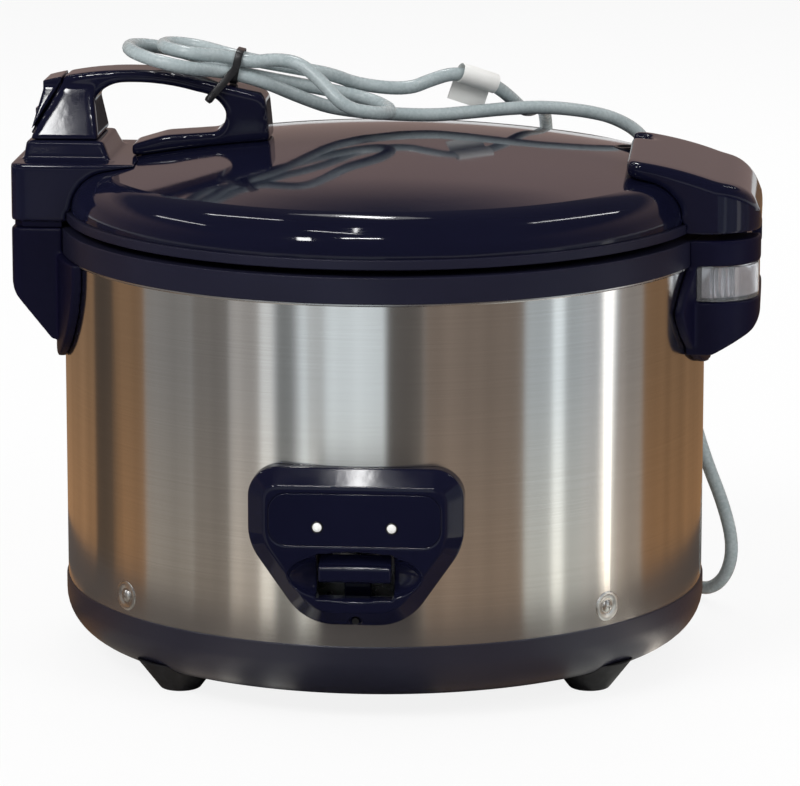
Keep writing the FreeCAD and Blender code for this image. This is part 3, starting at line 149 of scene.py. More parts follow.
class Wire:
    """An output socket that can be used in expressions."""

    def __init__(self, socket):
        self.socket = socket

    def node(self, kind, settings=None, inputs=None):
        """Any node: its settings, then what its sockets hold. Its first output in use comes back."""
        made = self.socket.id_data.nodes.new(kind)
        for name, value in (settings or {}).items():
            setattr(made, name, value)
        for name, value in (inputs or {}).items():
            socket = next(x for x in made.inputs if x.enabled and name in (x.identifier, x.name))
            feed(socket, value)
        return Wire(next(x for x in made.outputs if x.enabled))

    def maths(self, operation, *values):
        slots = {"Value": values[0]}
        slots.update({f"Value_{k:03d}": v for k, v in enumerate(values[1:], 1)})
        return self.node("ShaderNodeMath", {"operation": operation}, slots)

    def __add__(self, other):
        return self.maths("ADD", self, other)

    def __sub__(self, other):
        return self.maths("SUBTRACT", self, other)

    def __rsub__(self, other):
        return self.maths("SUBTRACT", other, self)

    def __mul__(self, other):
        return self.maths("MULTIPLY", self, other)

    __radd__ = __add__
    __rmul__ = __mul__

    def between(self, low, high):
        """The value's place between two limits, from 0 to 1."""
        return self.node("ShaderNodeMapRange", None, {"Value": self, "From Min": low, "From Max": high})

    def past(self, limit, edge):
        """A step from 0 to 1 at a limit, softened by an edge on either side of it."""
        return self.between(limit - edge, limit + edge)

    def from_to(self, low, high):
        """A value from 0 to 1, laid out between two limits."""
        return self * (high - low) + low

    def blend(self, first, second):
        """A mix of two colours, with this value as the share of the second."""
        slots = {"Factor_Float": self, "A_Color": first, "B_Color": second}
        return self.node("ShaderNodeMix", {"data_type": "RGBA"}, slots)

    def times(self, factors):
        """A place or colour with each of its three parts multiplied by its own factor."""
        slots = {"Vector": self, "Vector_001": factors}
        return self.node("ShaderNodeVectorMath", {"operation": "MULTIPLY"}, slots)

    def noise(self, scale=1.0, detail=2.0, stretch=None):
        """Noise on a place, closer or wider along each axis where a stretch is given."""
        place = self.times(stretch) if stretch else self
        return place.node("ShaderNodeTexNoise", None, {"Vector": place, "Scale": scale, "Detail": detail})

    def axes(self):
        """The three numbers of a place."""
        apart = self.node("ShaderNodeSeparateXYZ", None, {"Vector": self}).socket.node
        return [Wire(out) for out in apart.outputs]

    def bump(self, strength, depth):
        return self.node("ShaderNodeBump", None, {"Height": self, "Strength": strength, "Distance": depth})


# %% [markdown]
# A finish is one material with its Principled shader. What is the same all over the surface is given as a plain
# value when the finish is made, and what changes over the surface is a wire that is set afterwards. The
# patterns read object coordinates, so they stay on the piece and need no unwrapping.

# %% Finishes
def moulded_name(node):
    """The name of the rounded copy that is made of a CAD node."""
    return f"{node}_moulded"


class Finish:
    """A material: its Principled shader and the object coordinates that its patterns read."""

    def __init__(self, name, **constants):
        self.material = bpy.data.materials.new(name)
        self.material.use_nodes = True
        self.tree = self.material.node_tree
        self.shader = self.tree.nodes["Principled BSDF"]
        self.place = Wire(self.tree.nodes.new("ShaderNodeTexCoord").outputs["Object"])
        for words, value in constants.items():
            self.set(words.replace("_", " ").title().replace("Ior", "IOR"), value)

    def set(self, socket, value):
        feed(self.shader.inputs[socket], value)

    def show(self, shader):
        """Puts another shader in the place of the Principled one."""
        feed(self.tree.nodes["Material Output"].inputs["Surface"], shader)

    def on(self, *names):
        """Puts the finish on CAD nodes, their rounded copies and new pieces."""
        for name in names:
            things = [nodes.get(name)] + [bpy.data.objects.get(x) for x in (name, moulded_name(name))]
            for thing in filter(None, things):
                thing.data.materials.clear()
                thing.data.materials.append(self.material)


# %% [markdown]
# The cooker stands on a plain white floor. White paint alone looks grey in soft light, and a floor that only
# glows shows no shadow. So the floor's material mixes the two: the camera, mirrors and clear plastic see mostly
# an even white, and the rest is matte paint, which takes the cooker's shadow.

# %% Floor
FLOOR_SIZE = 40
FLOOR_WHITE = 0.86
# The share of even white in what is seen of the floor
FLOOR_GLOW = 0.86


def grey(value):
    return (value, value, value)


def pale_floor():
    finish = Finish("pale_floor", base_color=grey(FLOOR_WHITE), roughness=0.9, specular_ior_level=0.1)
    rays = finish.tree.nodes.new("ShaderNodeLightPath").outputs
    seen = Wire(rays["Is Camera Ray"]) + Wire(rays["Is Glossy Ray"]) + Wire(rays["Is Transmission Ray"])
    white = finish.place.node("ShaderNodeEmission", None, {"Color": grey(1), "Strength": 1.0})
    finish.show(finish.place.node("ShaderNodeMixShader", None, {
        "Fac": seen.maths("MINIMUM", seen, 1.0) * FLOOR_GLOW,
        "Shader": Wire(finish.shader.outputs["BSDF"]),
        "Shader_001": white,
    }))
    return finish


bpy.ops.object.select_all(action="DESELECT")
bpy.ops.mesh.primitive_plane_add(size=FLOOR_SIZE)
floor = bpy.context.object
floor.name = "floor"
pale_floor().on("floor")
print("floor:", FLOOR_SIZE, "m wide")

# %% [markdown]
# Polished plastic and brushed steel show what stands round them. A low ring of strip lights and grey cards,
# which only reflections see, gives the steel its upright light and dark bands. Bands painted on the drum would
# stay put when the view turns, and these move as real ones do. The strips are listed by the angle on the drum
# at which they show, and a little geometry finds where on the ring each one has to stand.

# %% Strips of the ring
DRUM_RADIUS = 0.2
RING_RADIUS = 0.43
# Each strip: the angle on the drum where it shows, half its width there, its brightness and how warm it is
STRIPS = {
    "left card": (-71, 24, 0.15, 2.1),
    "left gap": (-60, 3.5, 0.055, 1.0),
    "left curtain": (-41.5, 5.5, 0.24, 0.1),
    "left shade": (-32, 4, 0.17, 0.2),
    "left blind": (-25, 3, 0.38, 0.1),
    "left pane": (-21, 1.2, 0.80, -0.1),
    "window frame": (-17.5, 1.6, 0.22, -0.2),
    "window": (-7.5, 7.5, 0.85, -0.3),
    "window bar": (-12, 1.6, 0.58, -0.2),
    "door": (3.5, 3.3, 0.10, 0.3),
    "brown card": (16, 9.3, 0.17, 0.8),
    "right pane": (31, 6, 0.50, -0.3),
    "right window": (31.8, 1.2, 1.0, -0.3),
    "strip lamp": (43, 1.5, 2.0, 0.0),
    "right shade": (49, 3.5, 0.28, 0.3),
    "right card": (74.5, 22.3, 0.13, 2.2),
}
WARM_RED = 0.3
WARM_BLUE = 0.2


def strip_colour(brightness, warmth):
    """Warm strips gain red and lose blue, and cool ones the other way round."""
    return (brightness * (1 + WARM_RED * warmth), brightness, brightness * (1 - WARM_BLUE * warmth))


def ring_angle(drum_angle):
    """Where round the ring a strip stands that shows at this angle on the drum, in radians."""
    turn = math.radians(drum_angle)
    return 2 * turn - math.asin(DRUM_RADIUS / RING_RADIUS * math.sin(turn)) + CAMERA_ROUND


print("ring of", len(STRIPS), "strips, radius", RING_RADIUS)

# %% Ring and cloth
RING_HEIGHT = 0.27
RING_SIDES = 96
# The ring goes on over the floor as an apron, up to this share of its radius
APRON_SHARE = 0.42
APRON_HEIGHT = 0.001
# A dark cloth lies round the ring, for what looks over it
CLOTH_SIZE = 8
HIDDEN_FROM = ("camera", "diffuse", "transmission", "volume_scatter", "shadow")

bpy.ops.mesh.primitive_cylinder_add(
    vertices=RING_SIDES, radius=RING_RADIUS, depth=RING_HEIGHT, end_fill_type="NOTHING",
    location=(0, 0, RING_HEIGHT / 2),
)
ring = bpy.context.object
ring.name = "strip_ring"
bpy.ops.object.transform_apply(location=True, rotation=True, scale=True)
bpy.ops.object.mode_set(mode="EDIT")
bpy.ops.mesh.select_all(action="DESELECT")
bpy.ops.object.mode_set(mode="OBJECT")
for vertex in ring.data.vertices:
    vertex.select = vertex.co.z < APRON_HEIGHT
for edge in ring.data.edges:
    edge.select = all(ring.data.vertices[k].select for k in edge.vertices)
bpy.ops.object.mode_set(mode="EDIT")
bpy.ops.mesh.extrude_edges_move(TRANSFORM_OT_translate={"value": (0, 0, APRON_HEIGHT)})
bpy.ops.transform.resize(value=(APRON_SHARE, APRON_SHARE, 1))
bpy.ops.object.mode_set(mode="OBJECT")
bpy.ops.mesh.primitive_plane_add(size=CLOTH_SIZE, location=(0, 0, APRON_HEIGHT / 2))
cloth = bpy.context.object
cloth.name = "dark_cloth"
for thing in (ring, cloth):
    for ray in HIDDEN_FROM:
        setattr(thing, f"visible_{ray}", False)
print("ring with its apron:", len(ring.data.polygons), "faces")

# %% Light of the ring
BETWEEN_STRIPS = (0.48, 0.51, 0.54)
STRIP_EDGE = math.radians(0.6)
# Near the floor the ring is warmer, and that fades out between two heights
WARM_LOW = (1.4, 1.27, 1.10)
WARM_HEIGHTS = (0.02, 0.15)
# A dark card stands low down in front of the switch panel: half its width as an angle on the ring, its top, the
# soft edge of each, and its colour
CARD_HALF, CARD_SIDE_EDGE = math.radians(13), 0.02
CARD_TOP, CARD_TOP_EDGE = 0.104, 0.004
CARD_COLOUR = (0.05, 0.045, 0.045)
# Upright folds, as in a curtain, keep the light from being even
FOLD_STRETCH = (26, 26, 0.01)
CLOTH_TONES = (0.05, 0.042, 0.04), (0.08, 0.066, 0.06)


def dim_cloth():
    finish = Finish("dim_cloth", roughness=0.9)
    weave = finish.place.noise(scale=3, detail=3)
    finish.set("Base Color", weave.blend(*CLOTH_TONES))
    return finish


def strip_lights():
    finish = Finish("strip_lights")
    x, y, z = finish.place.axes()
    # The front of the ring is at -Y, and its angle grows towards +X
    angle = x.maths("ARCTAN2", x, y * -1.0)
    colour = BETWEEN_STRIPS
    for place, half_width, brightness, warmth in STRIPS.values():
        start, end = ring_angle(place - half_width), ring_angle(place + half_width)
        off_centre = x.maths("ABSOLUTE", angle - (start + end) / 2)
        strip = 1 - off_centre.past((end - start) / 2, STRIP_EDGE)
        colour = strip.blend(colour, strip_colour(brightness, warmth))
    near_floor = 1 - z.between(*WARM_HEIGHTS)
    colour = near_floor.blend(colour, colour.times(WARM_LOW))
    in_front = 1 - x.maths("ABSOLUTE", angle).past(CARD_HALF, CARD_SIDE_EDGE)
    card = in_front * (1 - z.past(CARD_TOP, CARD_TOP_EDGE))
    colour = card.blend(colour, CARD_COLOUR)
    folds = finish.place.noise(detail=3, stretch=FOLD_STRETCH).between(0.25, 0.75).from_to(0.8, 1.2)
    finish.show(finish.place.node("ShaderNodeEmission", None, {"Color": colour, "Strength": folds}))
    return finish


strip_lights().on("strip_ring")
dim_cloth().on("dark_cloth")
print("the ring glows, and a dark cloth lies round it")

# %% [markdown]
# Three large soft lamps light the cooker, and none of them is mirrored. The long highlights on the lid, the
# grip and the panel come from slim tubes and panes that light no matte surface, so each highlight can be placed
# without a change to the light. A few big lamps alone would leave broad pale patches on polished plastic.

# %% Lamps
X, Y, Z = Vector((1, 0, 0)), Vector((0, 1, 0)), Vector((0, 0, 1))
LAMP_TARGET = Vector((0, 0, 0.2))
# Each lamp: its place, its two sides and its power
LAMPS = {
    "key_lamp": ((-1.5, -1.7, 2.2), (1.6, 1.1), 46),
    "fill_lamp": ((2.0, -1.4, 1.7), (1.2, 1.2), 20),
    "back_lamp": ((0.3, 2.2, 2.0), (2.0, 0.8), 26),
}
# Each tube or pane: both its ends, its width and its power
TUBES = {
    "tube_middle": ((-0.21, 0.74, 1.84), (-0.04, 0.54, 1.95), 0.09, 6.2),
    "glow_middle": ((-0.32, 0.87, 1.76), (0.07, 0.41, 2.02), 0.26, 2.0),
    "tube_left": ((-1.00, 0.35, 1.76), (-0.63, 0.06, 1.99), 0.035, 2.3),
    "tube_far_left": ((-1.54, 0.21, 1.35), (-1.41, -0.42, 1.49), 0.035, 1.8),
    "tube_front": ((-0.67, -1.00, 2.12), (-0.18, -1.30, 2.06), 0.035, 3.4),
    "tube_right": ((1.08, -0.13, 1.80), (1.35, 0.65, 1.39), 0.035, 3.6),
    "panel_pane": ((-0.127, -0.82, 1.47), (-0.127, -0.52, 1.60), 0.016, 1.2),
    "panel_tube": ((-0.26, -1.25, 1.35), (0.06, -1.25, 1.35), 0.03, 4.0),
    "post_pane": ((-0.43, -0.86, 0.866), (-0.35, -0.86, 0.866), 0.14, 2.0),
}


def area_lamp(name, spot, axis, size, power):
    """A flat lamp at a place, turned to the cooker, with its long side near the given axis."""
    bpy.ops.object.light_add(type="AREA", location=spot)
    lamp = bpy.context.object
    lamp.name = name
    back_way = (Vector(spot) - LAMP_TARGET).normalized()
    side = (axis - back_way * axis.dot(back_way)).normalized()
    lamp.rotation_euler = Matrix((side, back_way.cross(side), back_way)).transposed().to_euler()
    lamp.data.shape = "RECTANGLE"
    lamp.data.size, lamp.data.size_y = size
    lamp.data.energy = power
    return lamp


for name, (spot, size, power) in LAMPS.items():
    lamp = area_lamp(name, spot, X, size, power)
    lamp.visible_glossy = False
for name, (first, last, width, power) in TUBES.items():
    first, last = Vector(first), Vector(last)
    tube = area_lamp(name, (first + last) / 2, last - first, ((last - first).length, width), power)
    tube.visible_diffuse = False
print("lamps:", ", ".join([*LAMPS, *TUBES]))

# %% [markdown]
# A dim, even room fills the shadows. Reflections see another room: a warm brown wall low down behind the
# cooker, which the domed lid picks up at its shallow angle, and dark above, so that the shoulders of the lid
# stay deep blue. A wall of real boards would do the same, but a world shader needs no geometry.

# %% Room
ROOM_LIGHT = grey(0.55)
ROOM_ABOVE = (0.10, 0.09, 0.095)
# The wall's colour low down and high up, and the heights between which the one becomes the other
WALL_TONES = (0.385, 0.28, 0.25), (0.90, 0.64, 0.57)
WALL_TONE_HEIGHTS = (0.20, 0.55)
# Where the wall fades out upwards, and where it fades in towards the rear
WALL_TOP = (0.42, 0.53)
WALL_FRONT = (-0.5, 0.4)


def room():
    world = bpy.data.worlds.new("room")
    bpy.context.scene.world = world
    world.use_nodes = True
    tree = world.node_tree
    direction = Wire(tree.nodes.new("ShaderNodeTexCoord").outputs["Generated"])
    _, y, z = direction.axes()
    rays = tree.nodes.new("ShaderNodeLightPath").outputs
    wall = (1 - z.between(*WALL_TOP)) * y.between(*WALL_FRONT)
    wall_colour = z.between(*WALL_TONE_HEIGHTS).blend(*WALL_TONES)
    reflected = wall.blend(ROOM_ABOVE, wall_colour)
    colour = Wire(rays["Is Glossy Ray"]).blend(ROOM_LIGHT, reflected)
    feed(tree.nodes["Background"].inputs["Color"], colour)
    return world


bpy.context.scene.view_settings.view_transform = "Standard"
print("world:", room().name)

# %% [markdown]
# The mains cord comes first of all the pieces, because it is the hardest to place. It leaves the gland at the
# back, drops to the floor beside the drum, climbs over the lid and is tied into a hank on the handle. Its end
# goes back behind the lid to the plug. These stretches are lists of spots, chosen where the cord lies.

# %% Route of the cord
CORD_DIAMETER = 0.0085
RISER = [
    (0.076, 0.203, 0.068), (0.098, 0.203, 0.068), (0.120, 0.1985, 0.063), (0.141, 0.186, 0.052),
    (0.159, 0.1685, 0.036), (0.174, 0.150, 0.018), (0.188, 0.132, 0.007), (0.203, 0.113, 0.0065),
    (0.215, 0.099, 0.020), (0.219, 0.094, 0.042), (0.212, 0.100, 0.068), (0.200, 0.110, 0.095),
    (0.190, 0.119, 0.125), (0.182, 0.124, 0.158), (0.175, 0.1285, 0.186), (0.170, 0.130, 0.216),
    (0.1673, 0.1292, 0.240),
]
OVER_LID = [
    (0.166, 0.1284, 0.285), (0.1562, 0.1209, 0.3067), (0.139, 0.1076, 0.3192), (0.1199, 0.0928, 0.3257),
    (0.097, 0.078, 0.330), (0.074, 0.0655, 0.3308), (0.048, 0.054, 0.3295), (0.022, 0.045, 0.3282),
]
TAIL = [
    (0.010, 0.0475, 0.3445), (0.025, 0.051, 0.3505), (0.039, 0.055, 0.3545), (0.054, 0.0605, 0.351),
    (0.066, 0.0695, 0.3435), (0.074, 0.082, 0.3345), (0.079, 0.099, 0.326), (0.083, 0.121, 0.321),
    (0.088, 0.156, 0.319), (0.090, 0.186, 0.3105), (0.090, 0.208, 0.291), (0.090, 0.220, 0.264),
    (0.090, 0.223, 0.236), (0.090, 0.223, 0.212),
]
print("route:", len(RISER), "spots up the drum,", len(OVER_LID), "over the lid,", len(TAIL), "to the plug")

# %% [markdown]
# The hank is wound in two layers that share a narrow waist, where the strap holds them. It slopes, as the grip
# under it does. So its spots are given along it, across it and above it, and its round ends are worked out as
# arcs: an end that is made wider then keeps its shape.

# %% Hank on the handle
WAIST = Vector((-0.093, 0, 0.3606))
WAIST_HALF = 0.008
# How far apart the strands lie at the waist, from middle to middle
WAIST_STEP = 0.0096
STRAND = WAIST_STEP / 2
HANK_SLOPE = math.radians(13.4)
ALONG = Vector((math.cos(HANK_SLOPE), 0, -math.sin(HANK_SLOPE)))
UP = Vector((math.sin(HANK_SLOPE), 0, math.cos(HANK_SLOPE)))
# Round ends: the middle of the arc along the hank, its radius, how far each side of it reaches past a half
# circle in degrees, its number of spots and how much it droops
OUTER_FOLD = {"centre": -0.0405, "radius": 0.028, "spread": 50, "count": 6, "droop": 0.0}
INNER_FOLD = {"centre": -0.031, "radius": 0.017, "spread": 35, "count": 6, "droop": 0.08}
RIGHT_FOLD = {"centre": 0.0715, "radius": 0.027, "spread": 20, "count": 5, "droop": 0.0}
ONTO_HANK = [(0.066, 0.025, -0.0115), (0.042, 0.006, -0.006), (0.018, -STRAND, 0)]
ARCH = [
    (0.055, -0.021, 0.011), (0.039, -0.017, 0.0185), (0.024, -0.011, 0.0165),
    (WAIST_HALF, -STRAND, WAIST_STEP),
]
OFF_HANK = [(0.040, 0.013, 0.0105), (0.057, 0.025, 0.0098), (0.074, 0.040, 0.005)]


def on_hank(along, across, above):
    return WAIST + ALONG * along + Vector((0, across, 0)) + UP * above


def fold(centre, radius, spread, count, above, droop):
    """Spots of a round end of the hank, taken clockwise."""
    first = math.radians(90 + spread) if centre > 0 else math.radians(spread - 90)
    step = math.radians(180 + 2 * spread) / count
    # The curve passes inside its spots, so they stand a little further out than the arc
    out = radius / math.cos(step / 2)
    points = []
    for k in range(count):
        angle = first - step * (k + 0.5)
        along = centre + out * math.cos(angle)
        points.append(on_hank(along, out * math.sin(angle), above - droop * (abs(along) - WAIST_HALF)))
    return points


hank = [on_hank(*spot) for spot in ONTO_HANK]
for layer, left_fold in enumerate((OUTER_FOLD, INNER_FOLD)):
    above = layer * WAIST_STEP
    hank.append(on_hank(-WAIST_HALF, -STRAND, above))
    hank += fold(above=above, **left_fold)
    hank += [on_hank(-WAIST_HALF, STRAND, above), on_hank(WAIST_HALF, STRAND, above)]
    if layer == 0:
        hank += fold(above=above, **RIGHT_FOLD)
        hank += [on_hank(*spot) for spot in ARCH]
hank += [on_hank(*spot) for spot in OFF_HANK]
route = [Vector(p) for p in RISER + OVER_LID] + hank + [Vector(p) for p in TAIL]
print("hank:", len(hank), "of the route's", len(route), "spots")

# %% [markdown]
# The cord's line is a NURBS spline with the route's spots as control points, which is as smooth as a real cord.
# Rounding every corner by hand would look like bent wire. The spline is made twice: once bare, to measure the
# line, and once with a round section, which becomes the cord's mesh.

# %% Mains cord
CURVE_ORDER = 3
CURVE_STEPS = 8
SECTION_STEPS = 5


def spline_curve(name, points, thickness=0.0):
    """A smooth curve that has these points as its control points."""
    data = bpy.data.curves.new(name, "CURVE")
    data.dimensions = "3D"
    spline = data.splines.new("NURBS")
    spline.points.add(len(points) - 1)
    for point, place in zip(spline.points, points):
        point.co = (*place, 1)
    spline.order_u = CURVE_ORDER
    spline.use_endpoint_u = True
    spline.resolution_u = CURVE_STEPS
    data.bevel_depth = thickness / 2
    data.bevel_resolution = SECTION_STEPS
    data.use_fill_caps = True
    curve = bpy.data.objects.new(name, data)
    bpy.context.scene.collection.objects.link(curve)
    return curve


def select_only(thing):
    bpy.ops.object.select_all(action="DESELECT")
    thing.select_set(True)
    bpy.context.view_layer.objects.active = thing


line = spline_curve("cord_line", route)
cord_path = [v.co.copy() for v in bpy.data.meshes.new_from_object(line).vertices]
bpy.data.objects.remove(line)
cord = spline_curve("mains_cord", route, CORD_DIAMETER)
select_only(cord)
bpy.ops.object.convert(target="MESH")
cord = bpy.context.object
bpy.ops.object.shade_smooth()

# %% [markdown]
# Some pieces take the place of a plain CAD node, and some only go with one. Either way the piece has to move
# with the node's body, so two helpers say that in one place. Others copy a CAD node's mesh, apply a modifier
# and shade a piece smooth up to its real edges.

# %% Helpers for pieces that belong to CAD nodes
COPY_MERGE = 0.00002
FLAT_ANGLE = math.radians(1)
SMOOTH_ANGLE = math.radians(35)


def ride_with(thing, node):
    """The piece moves with a CAD node's body."""
    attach(thing, body_of(nodes[node])[0])


def stand_for(thing, node):
    """The piece takes the place of a CAD node."""
    ride_with(thing, node)
    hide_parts(node)


def apply_modifier(thing, kind, **settings):
    modifier = thing.modifiers.new(kind.lower(), kind)
    for name, value in settings.items():
        setattr(modifier, name, value)
    select_only(thing)
    bpy.ops.object.modifier_apply(modifier=modifier.name)


def node_copy(node):
    """A copy of a CAD piece, with its loose triangles joined and its flat faces made whole."""
    thing = bpy.data.objects.new(moulded_name(node), nodes[node].data.copy())
    bpy.context.scene.collection.objects.link(thing)
    select_only(thing)
    bpy.ops.object.mode_set(mode="EDIT")
    bpy.ops.mesh.select_all(action="SELECT")
    bpy.ops.mesh.remove_doubles(threshold=COPY_MERGE)
    bpy.ops.mesh.dissolve_limited(angle_limit=FLAT_ANGLE)
    bpy.ops.object.mode_set(mode="OBJECT")
    return thing


def smooth(thing):
    select_only(thing)
    bpy.ops.object.shade_smooth_by_angle(angle=SMOOTH_ANGLE)


# %% [markdown]
# A round piece needs only half of its outline: one vertex is extruded from spot to spot, and Spin sweeps that
# line round an axis. A strap is a line drawn the same way, extruded sideways and thickened. Both are quicker to
# change than a shape cut out of a block, because the outline is a short list of numbers.

# %% Lines, turned pieces and ribbons
DOT_SIZE = 0.001
LINE_MERGE = 0.00001
# The rounding of a ribbon's edges, as a share of its thickness
RIBBON_ROUNDING = 0.3


def drawn_line(name, spots):
    """A line of edges, made of one vertex that is extruded from spot to spot. It stays open in edit mode."""
    bpy.ops.object.select_all(action="DESELECT")
    bpy.ops.mesh.primitive_plane_add(size=DOT_SIZE)
    thing = bpy.context.object
    thing.name = name
    bpy.ops.object.mode_set(mode="EDIT")
    bpy.ops.mesh.select_all(action="SELECT")
    bpy.ops.mesh.merge(type="CENTER")
    bpy.ops.transform.translate(value=spots[0])
    for before, after in zip(spots, spots[1:]):
        bpy.ops.mesh.extrude_region_move(TRANSFORM_OT_translate={"value": after - before})
    bpy.ops.mesh.select_all(action="SELECT")
    return thing


def close_up():
    """Ends edit mode with the doubles merged and the faces pointing outwards."""
    bpy.ops.mesh.select_all(action="SELECT")
    bpy.ops.mesh.remove_doubles(threshold=LINE_MERGE)
    bpy.ops.mesh.normals_make_consistent(inside=False)
    bpy.ops.object.mode_set(mode="OBJECT")


def turned(name, outline, foot, axis, out, steps=40):
    """A round piece: an outline of (distance from the axis, height along it), spun round the axis."""
    thing = drawn_line(name, [foot + axis * height + out * radius for radius, height in outline])
    bpy.ops.mesh.spin(steps=steps, angle=2 * math.pi, center=foot, axis=axis)
    close_up()
    smooth(thing)
    return thing


def ribbon(name, spots, sideways, thickness):
    """A strap: a line that is extruded to one side and thickened."""
    thing = drawn_line(name, [spot - sideways / 2 for spot in spots])
    bpy.ops.mesh.extrude_region_move(TRANSFORM_OT_translate={"value": sideways})
    close_up()
    apply_modifier(thing, "SOLIDIFY", thickness=thickness, offset=0)
    apply_modifier(thing, "BEVEL", width=thickness * RIBBON_ROUNDING, segments=2, limit_method="ANGLE")
    smooth(thing)
    return thing


def joined(*things):
    """Several objects become one, under the name of the first."""
    select_only(things[0])
    for thing in things:
        thing.select_set(True)
    bpy.ops.object.join()
    return things[0]


# %% [markdown]
# A black strap ties the hank at its waist. It is drawn tight over four strands, so its loop is a rounded square
# rather than a circle, and its free end bows down to a small knob. The loop and the end are ribbons and the
# knob is turned, which keeps the strap one even thickness all along.

# %% Strap round the hank
LOOP_HALF_WIDTH = 0.01055
LOOP_LOW, LOOP_HIGH = -0.00575, 0.01535
LOOP_STEPS = 40
STRAP_WIDTH = 0.0048
STRAP_THICKNESS = 0.0012
# The free end: where it starts, the spot that pulls its bow out, and where it ends
STRAP_END = [
    Vector((-0.092, -0.0104, 0.3650)),
    Vector((-0.0985, -0.0185, 0.3570)),
    Vector((-0.1065, -0.0190, 0.3480)),
]
STRAP_END_STEPS = 8
KNOB = [(0, -0.003), (0.0018, -0.003), (0.0025, -0.002), (0.0026, 0.002), (0.002, 0.0035), (0, 0.0036)]
KNOB_STEPS = 24


def squared_circle(share):
    """A spot on the loop. Square roots pull a circle out towards a rounded square."""
    side, rise = math.cos(2 * math.pi * share), math.sin(2 * math.pi * share)
    across = LOOP_HALF_WIDTH * math.copysign(math.sqrt(abs(side)), side)
    squared_rise = math.copysign(math.sqrt(abs(rise)), rise)
    above = squared_rise * (LOOP_HIGH - LOOP_LOW) / 2 + (LOOP_HIGH + LOOP_LOW) / 2
    return on_hank(0, across, above)


def bow(first, pull, last, share):
    """A spot on a smooth bow between two ends."""
    return first.lerp(pull, share).lerp(pull.lerp(last, share), share)


loop_spots = [squared_circle(k / LOOP_STEPS) for k in range(LOOP_STEPS)] + [squared_circle(0)]
loop = ribbon("cord_strap", loop_spots, ALONG * STRAP_WIDTH, STRAP_THICKNESS)
strap_way = (STRAP_END[2] - STRAP_END[0]).normalized()
strap_side = strap_way.cross(Y).normalized()
end_spots = [bow(*STRAP_END, k / STRAP_END_STEPS) for k in range(STRAP_END_STEPS + 1)]
strap_end = ribbon("strap_end", end_spots, strap_side * STRAP_WIDTH, STRAP_THICKNESS)
knob = turned("strap_knob", KNOB, STRAP_END[2], strap_way, strap_side, KNOB_STEPS)
strap = joined(loop, strap_end, knob)
stand_for(strap, "cord_tie")
print("strap:", len(strap.data.polygons), "faces")

# %% [markdown]
# A strip of white paper is wrapped round the cord near the crest of its tail, and both its ends hang down as a
# flag. Seen along the cord it is one folded line, so it is a ribbon as well: up one sheet of the flag, round
# the cord and down the other sheet close beside it. It has to follow the cord, so its middle and its direction
# come from the route.

# %% Paper tag on the cord
TAG_LENGTH = 0.026
TAG_PAPER = 0.0004
WRAP_RADIUS = 0.0061
# The spots of the wrap stand this many degrees apart
WRAP_STEP = 12
WRAP_STEPS = 28
FLAG_LOW = -0.018
# Spots of the flag's two sheets: how far they lie inside the wrap's radius, and their height
FIRST_SHEET = [(0, FLAG_LOW), (0, -0.010), (0, -0.004)]
SECOND_SHEET = [(0.0007, -0.0045), (0.0006, -0.010), (0.0006, FLAG_LOW)]

before, corner, after = (Vector(p) for p in TAIL[2:5])
# Next to a control point the spline runs through this mix of it and its two neighbours
tag_centre = (before + corner * 6 + after) / 8
tag_axis = (after - before).normalized()
tag_rear = Z.cross(tag_axis).normalized()
tag_up = tag_axis.cross(tag_rear)
wrap_angles = [math.radians(WRAP_STEP * k) for k in range(WRAP_STEPS)]
tag_line = [(WRAP_RADIUS - inside, up) for inside, up in FIRST_SHEET]
tag_line += [(WRAP_RADIUS * math.cos(a), WRAP_RADIUS * math.sin(a)) for a in wrap_angles]
tag_line += [(WRAP_RADIUS - inside, up) for inside, up in SECOND_SHEET]
tag_spots = [tag_centre + tag_rear * rear + tag_up * up for rear, up in tag_line]
tag = ribbon("paper_tag", tag_spots, tag_axis * TAG_LENGTH, TAG_PAPER)
stand_for(tag, "cord_tag")
print("tag:", len(tag.data.polygons), "faces")

# %% [markdown]
# The plug hangs behind the lid. Its body is a round moulding with a grip, and the cord leaves it through a
# ringed sleeve that keeps it from kinking. Both are one turned outline, in which a loop adds the rings. The two
# pins are turned as well, and stay a piece of their own because they are metal.

# %% Plug
PLUG_FOOT = Vector((0.090, 0.223, 0))
PLUG_BODY = [
    (0, 0.160), (0.0128, 0.160), (0.0150, 0.1606), (0.0160, 0.1625), (0.0160, 0.1745), (0.0151, 0.1775),
    (0.0149, 0.1830), (0.0154, 0.1875), (0.0150, 0.1915), (0.0130, 0.1950), (0.0100, 0.1965),
]
SLEEVE_RINGS = 4
SLEEVE_LOW, SLEEVE_PITCH = 0.1972, 0.0034
SLEEVE_RADIUS, SLEEVE_TAPER = 0.0094, 0.0010
# One ring of the sleeve and the groove above it: the depth below the ring's radius, and the height
SLEEVE_RING = [(0, 0), (0, 0.0018), (0.0014, 0.0020), (0.0014, 0.0032)]
SLEEVE_END = [(0.0055, 0.2110), (0, 0.2112)]
PLUG_PIN = [(0, 0.141), (0.0014, 0.1411), (0.0021, 0.1418), (0.0024, 0.1430), (0.0024, 0.1602), (0, 0.1602)]
PIN_SPREAD = 0.0095
PIN_STEPS = 24

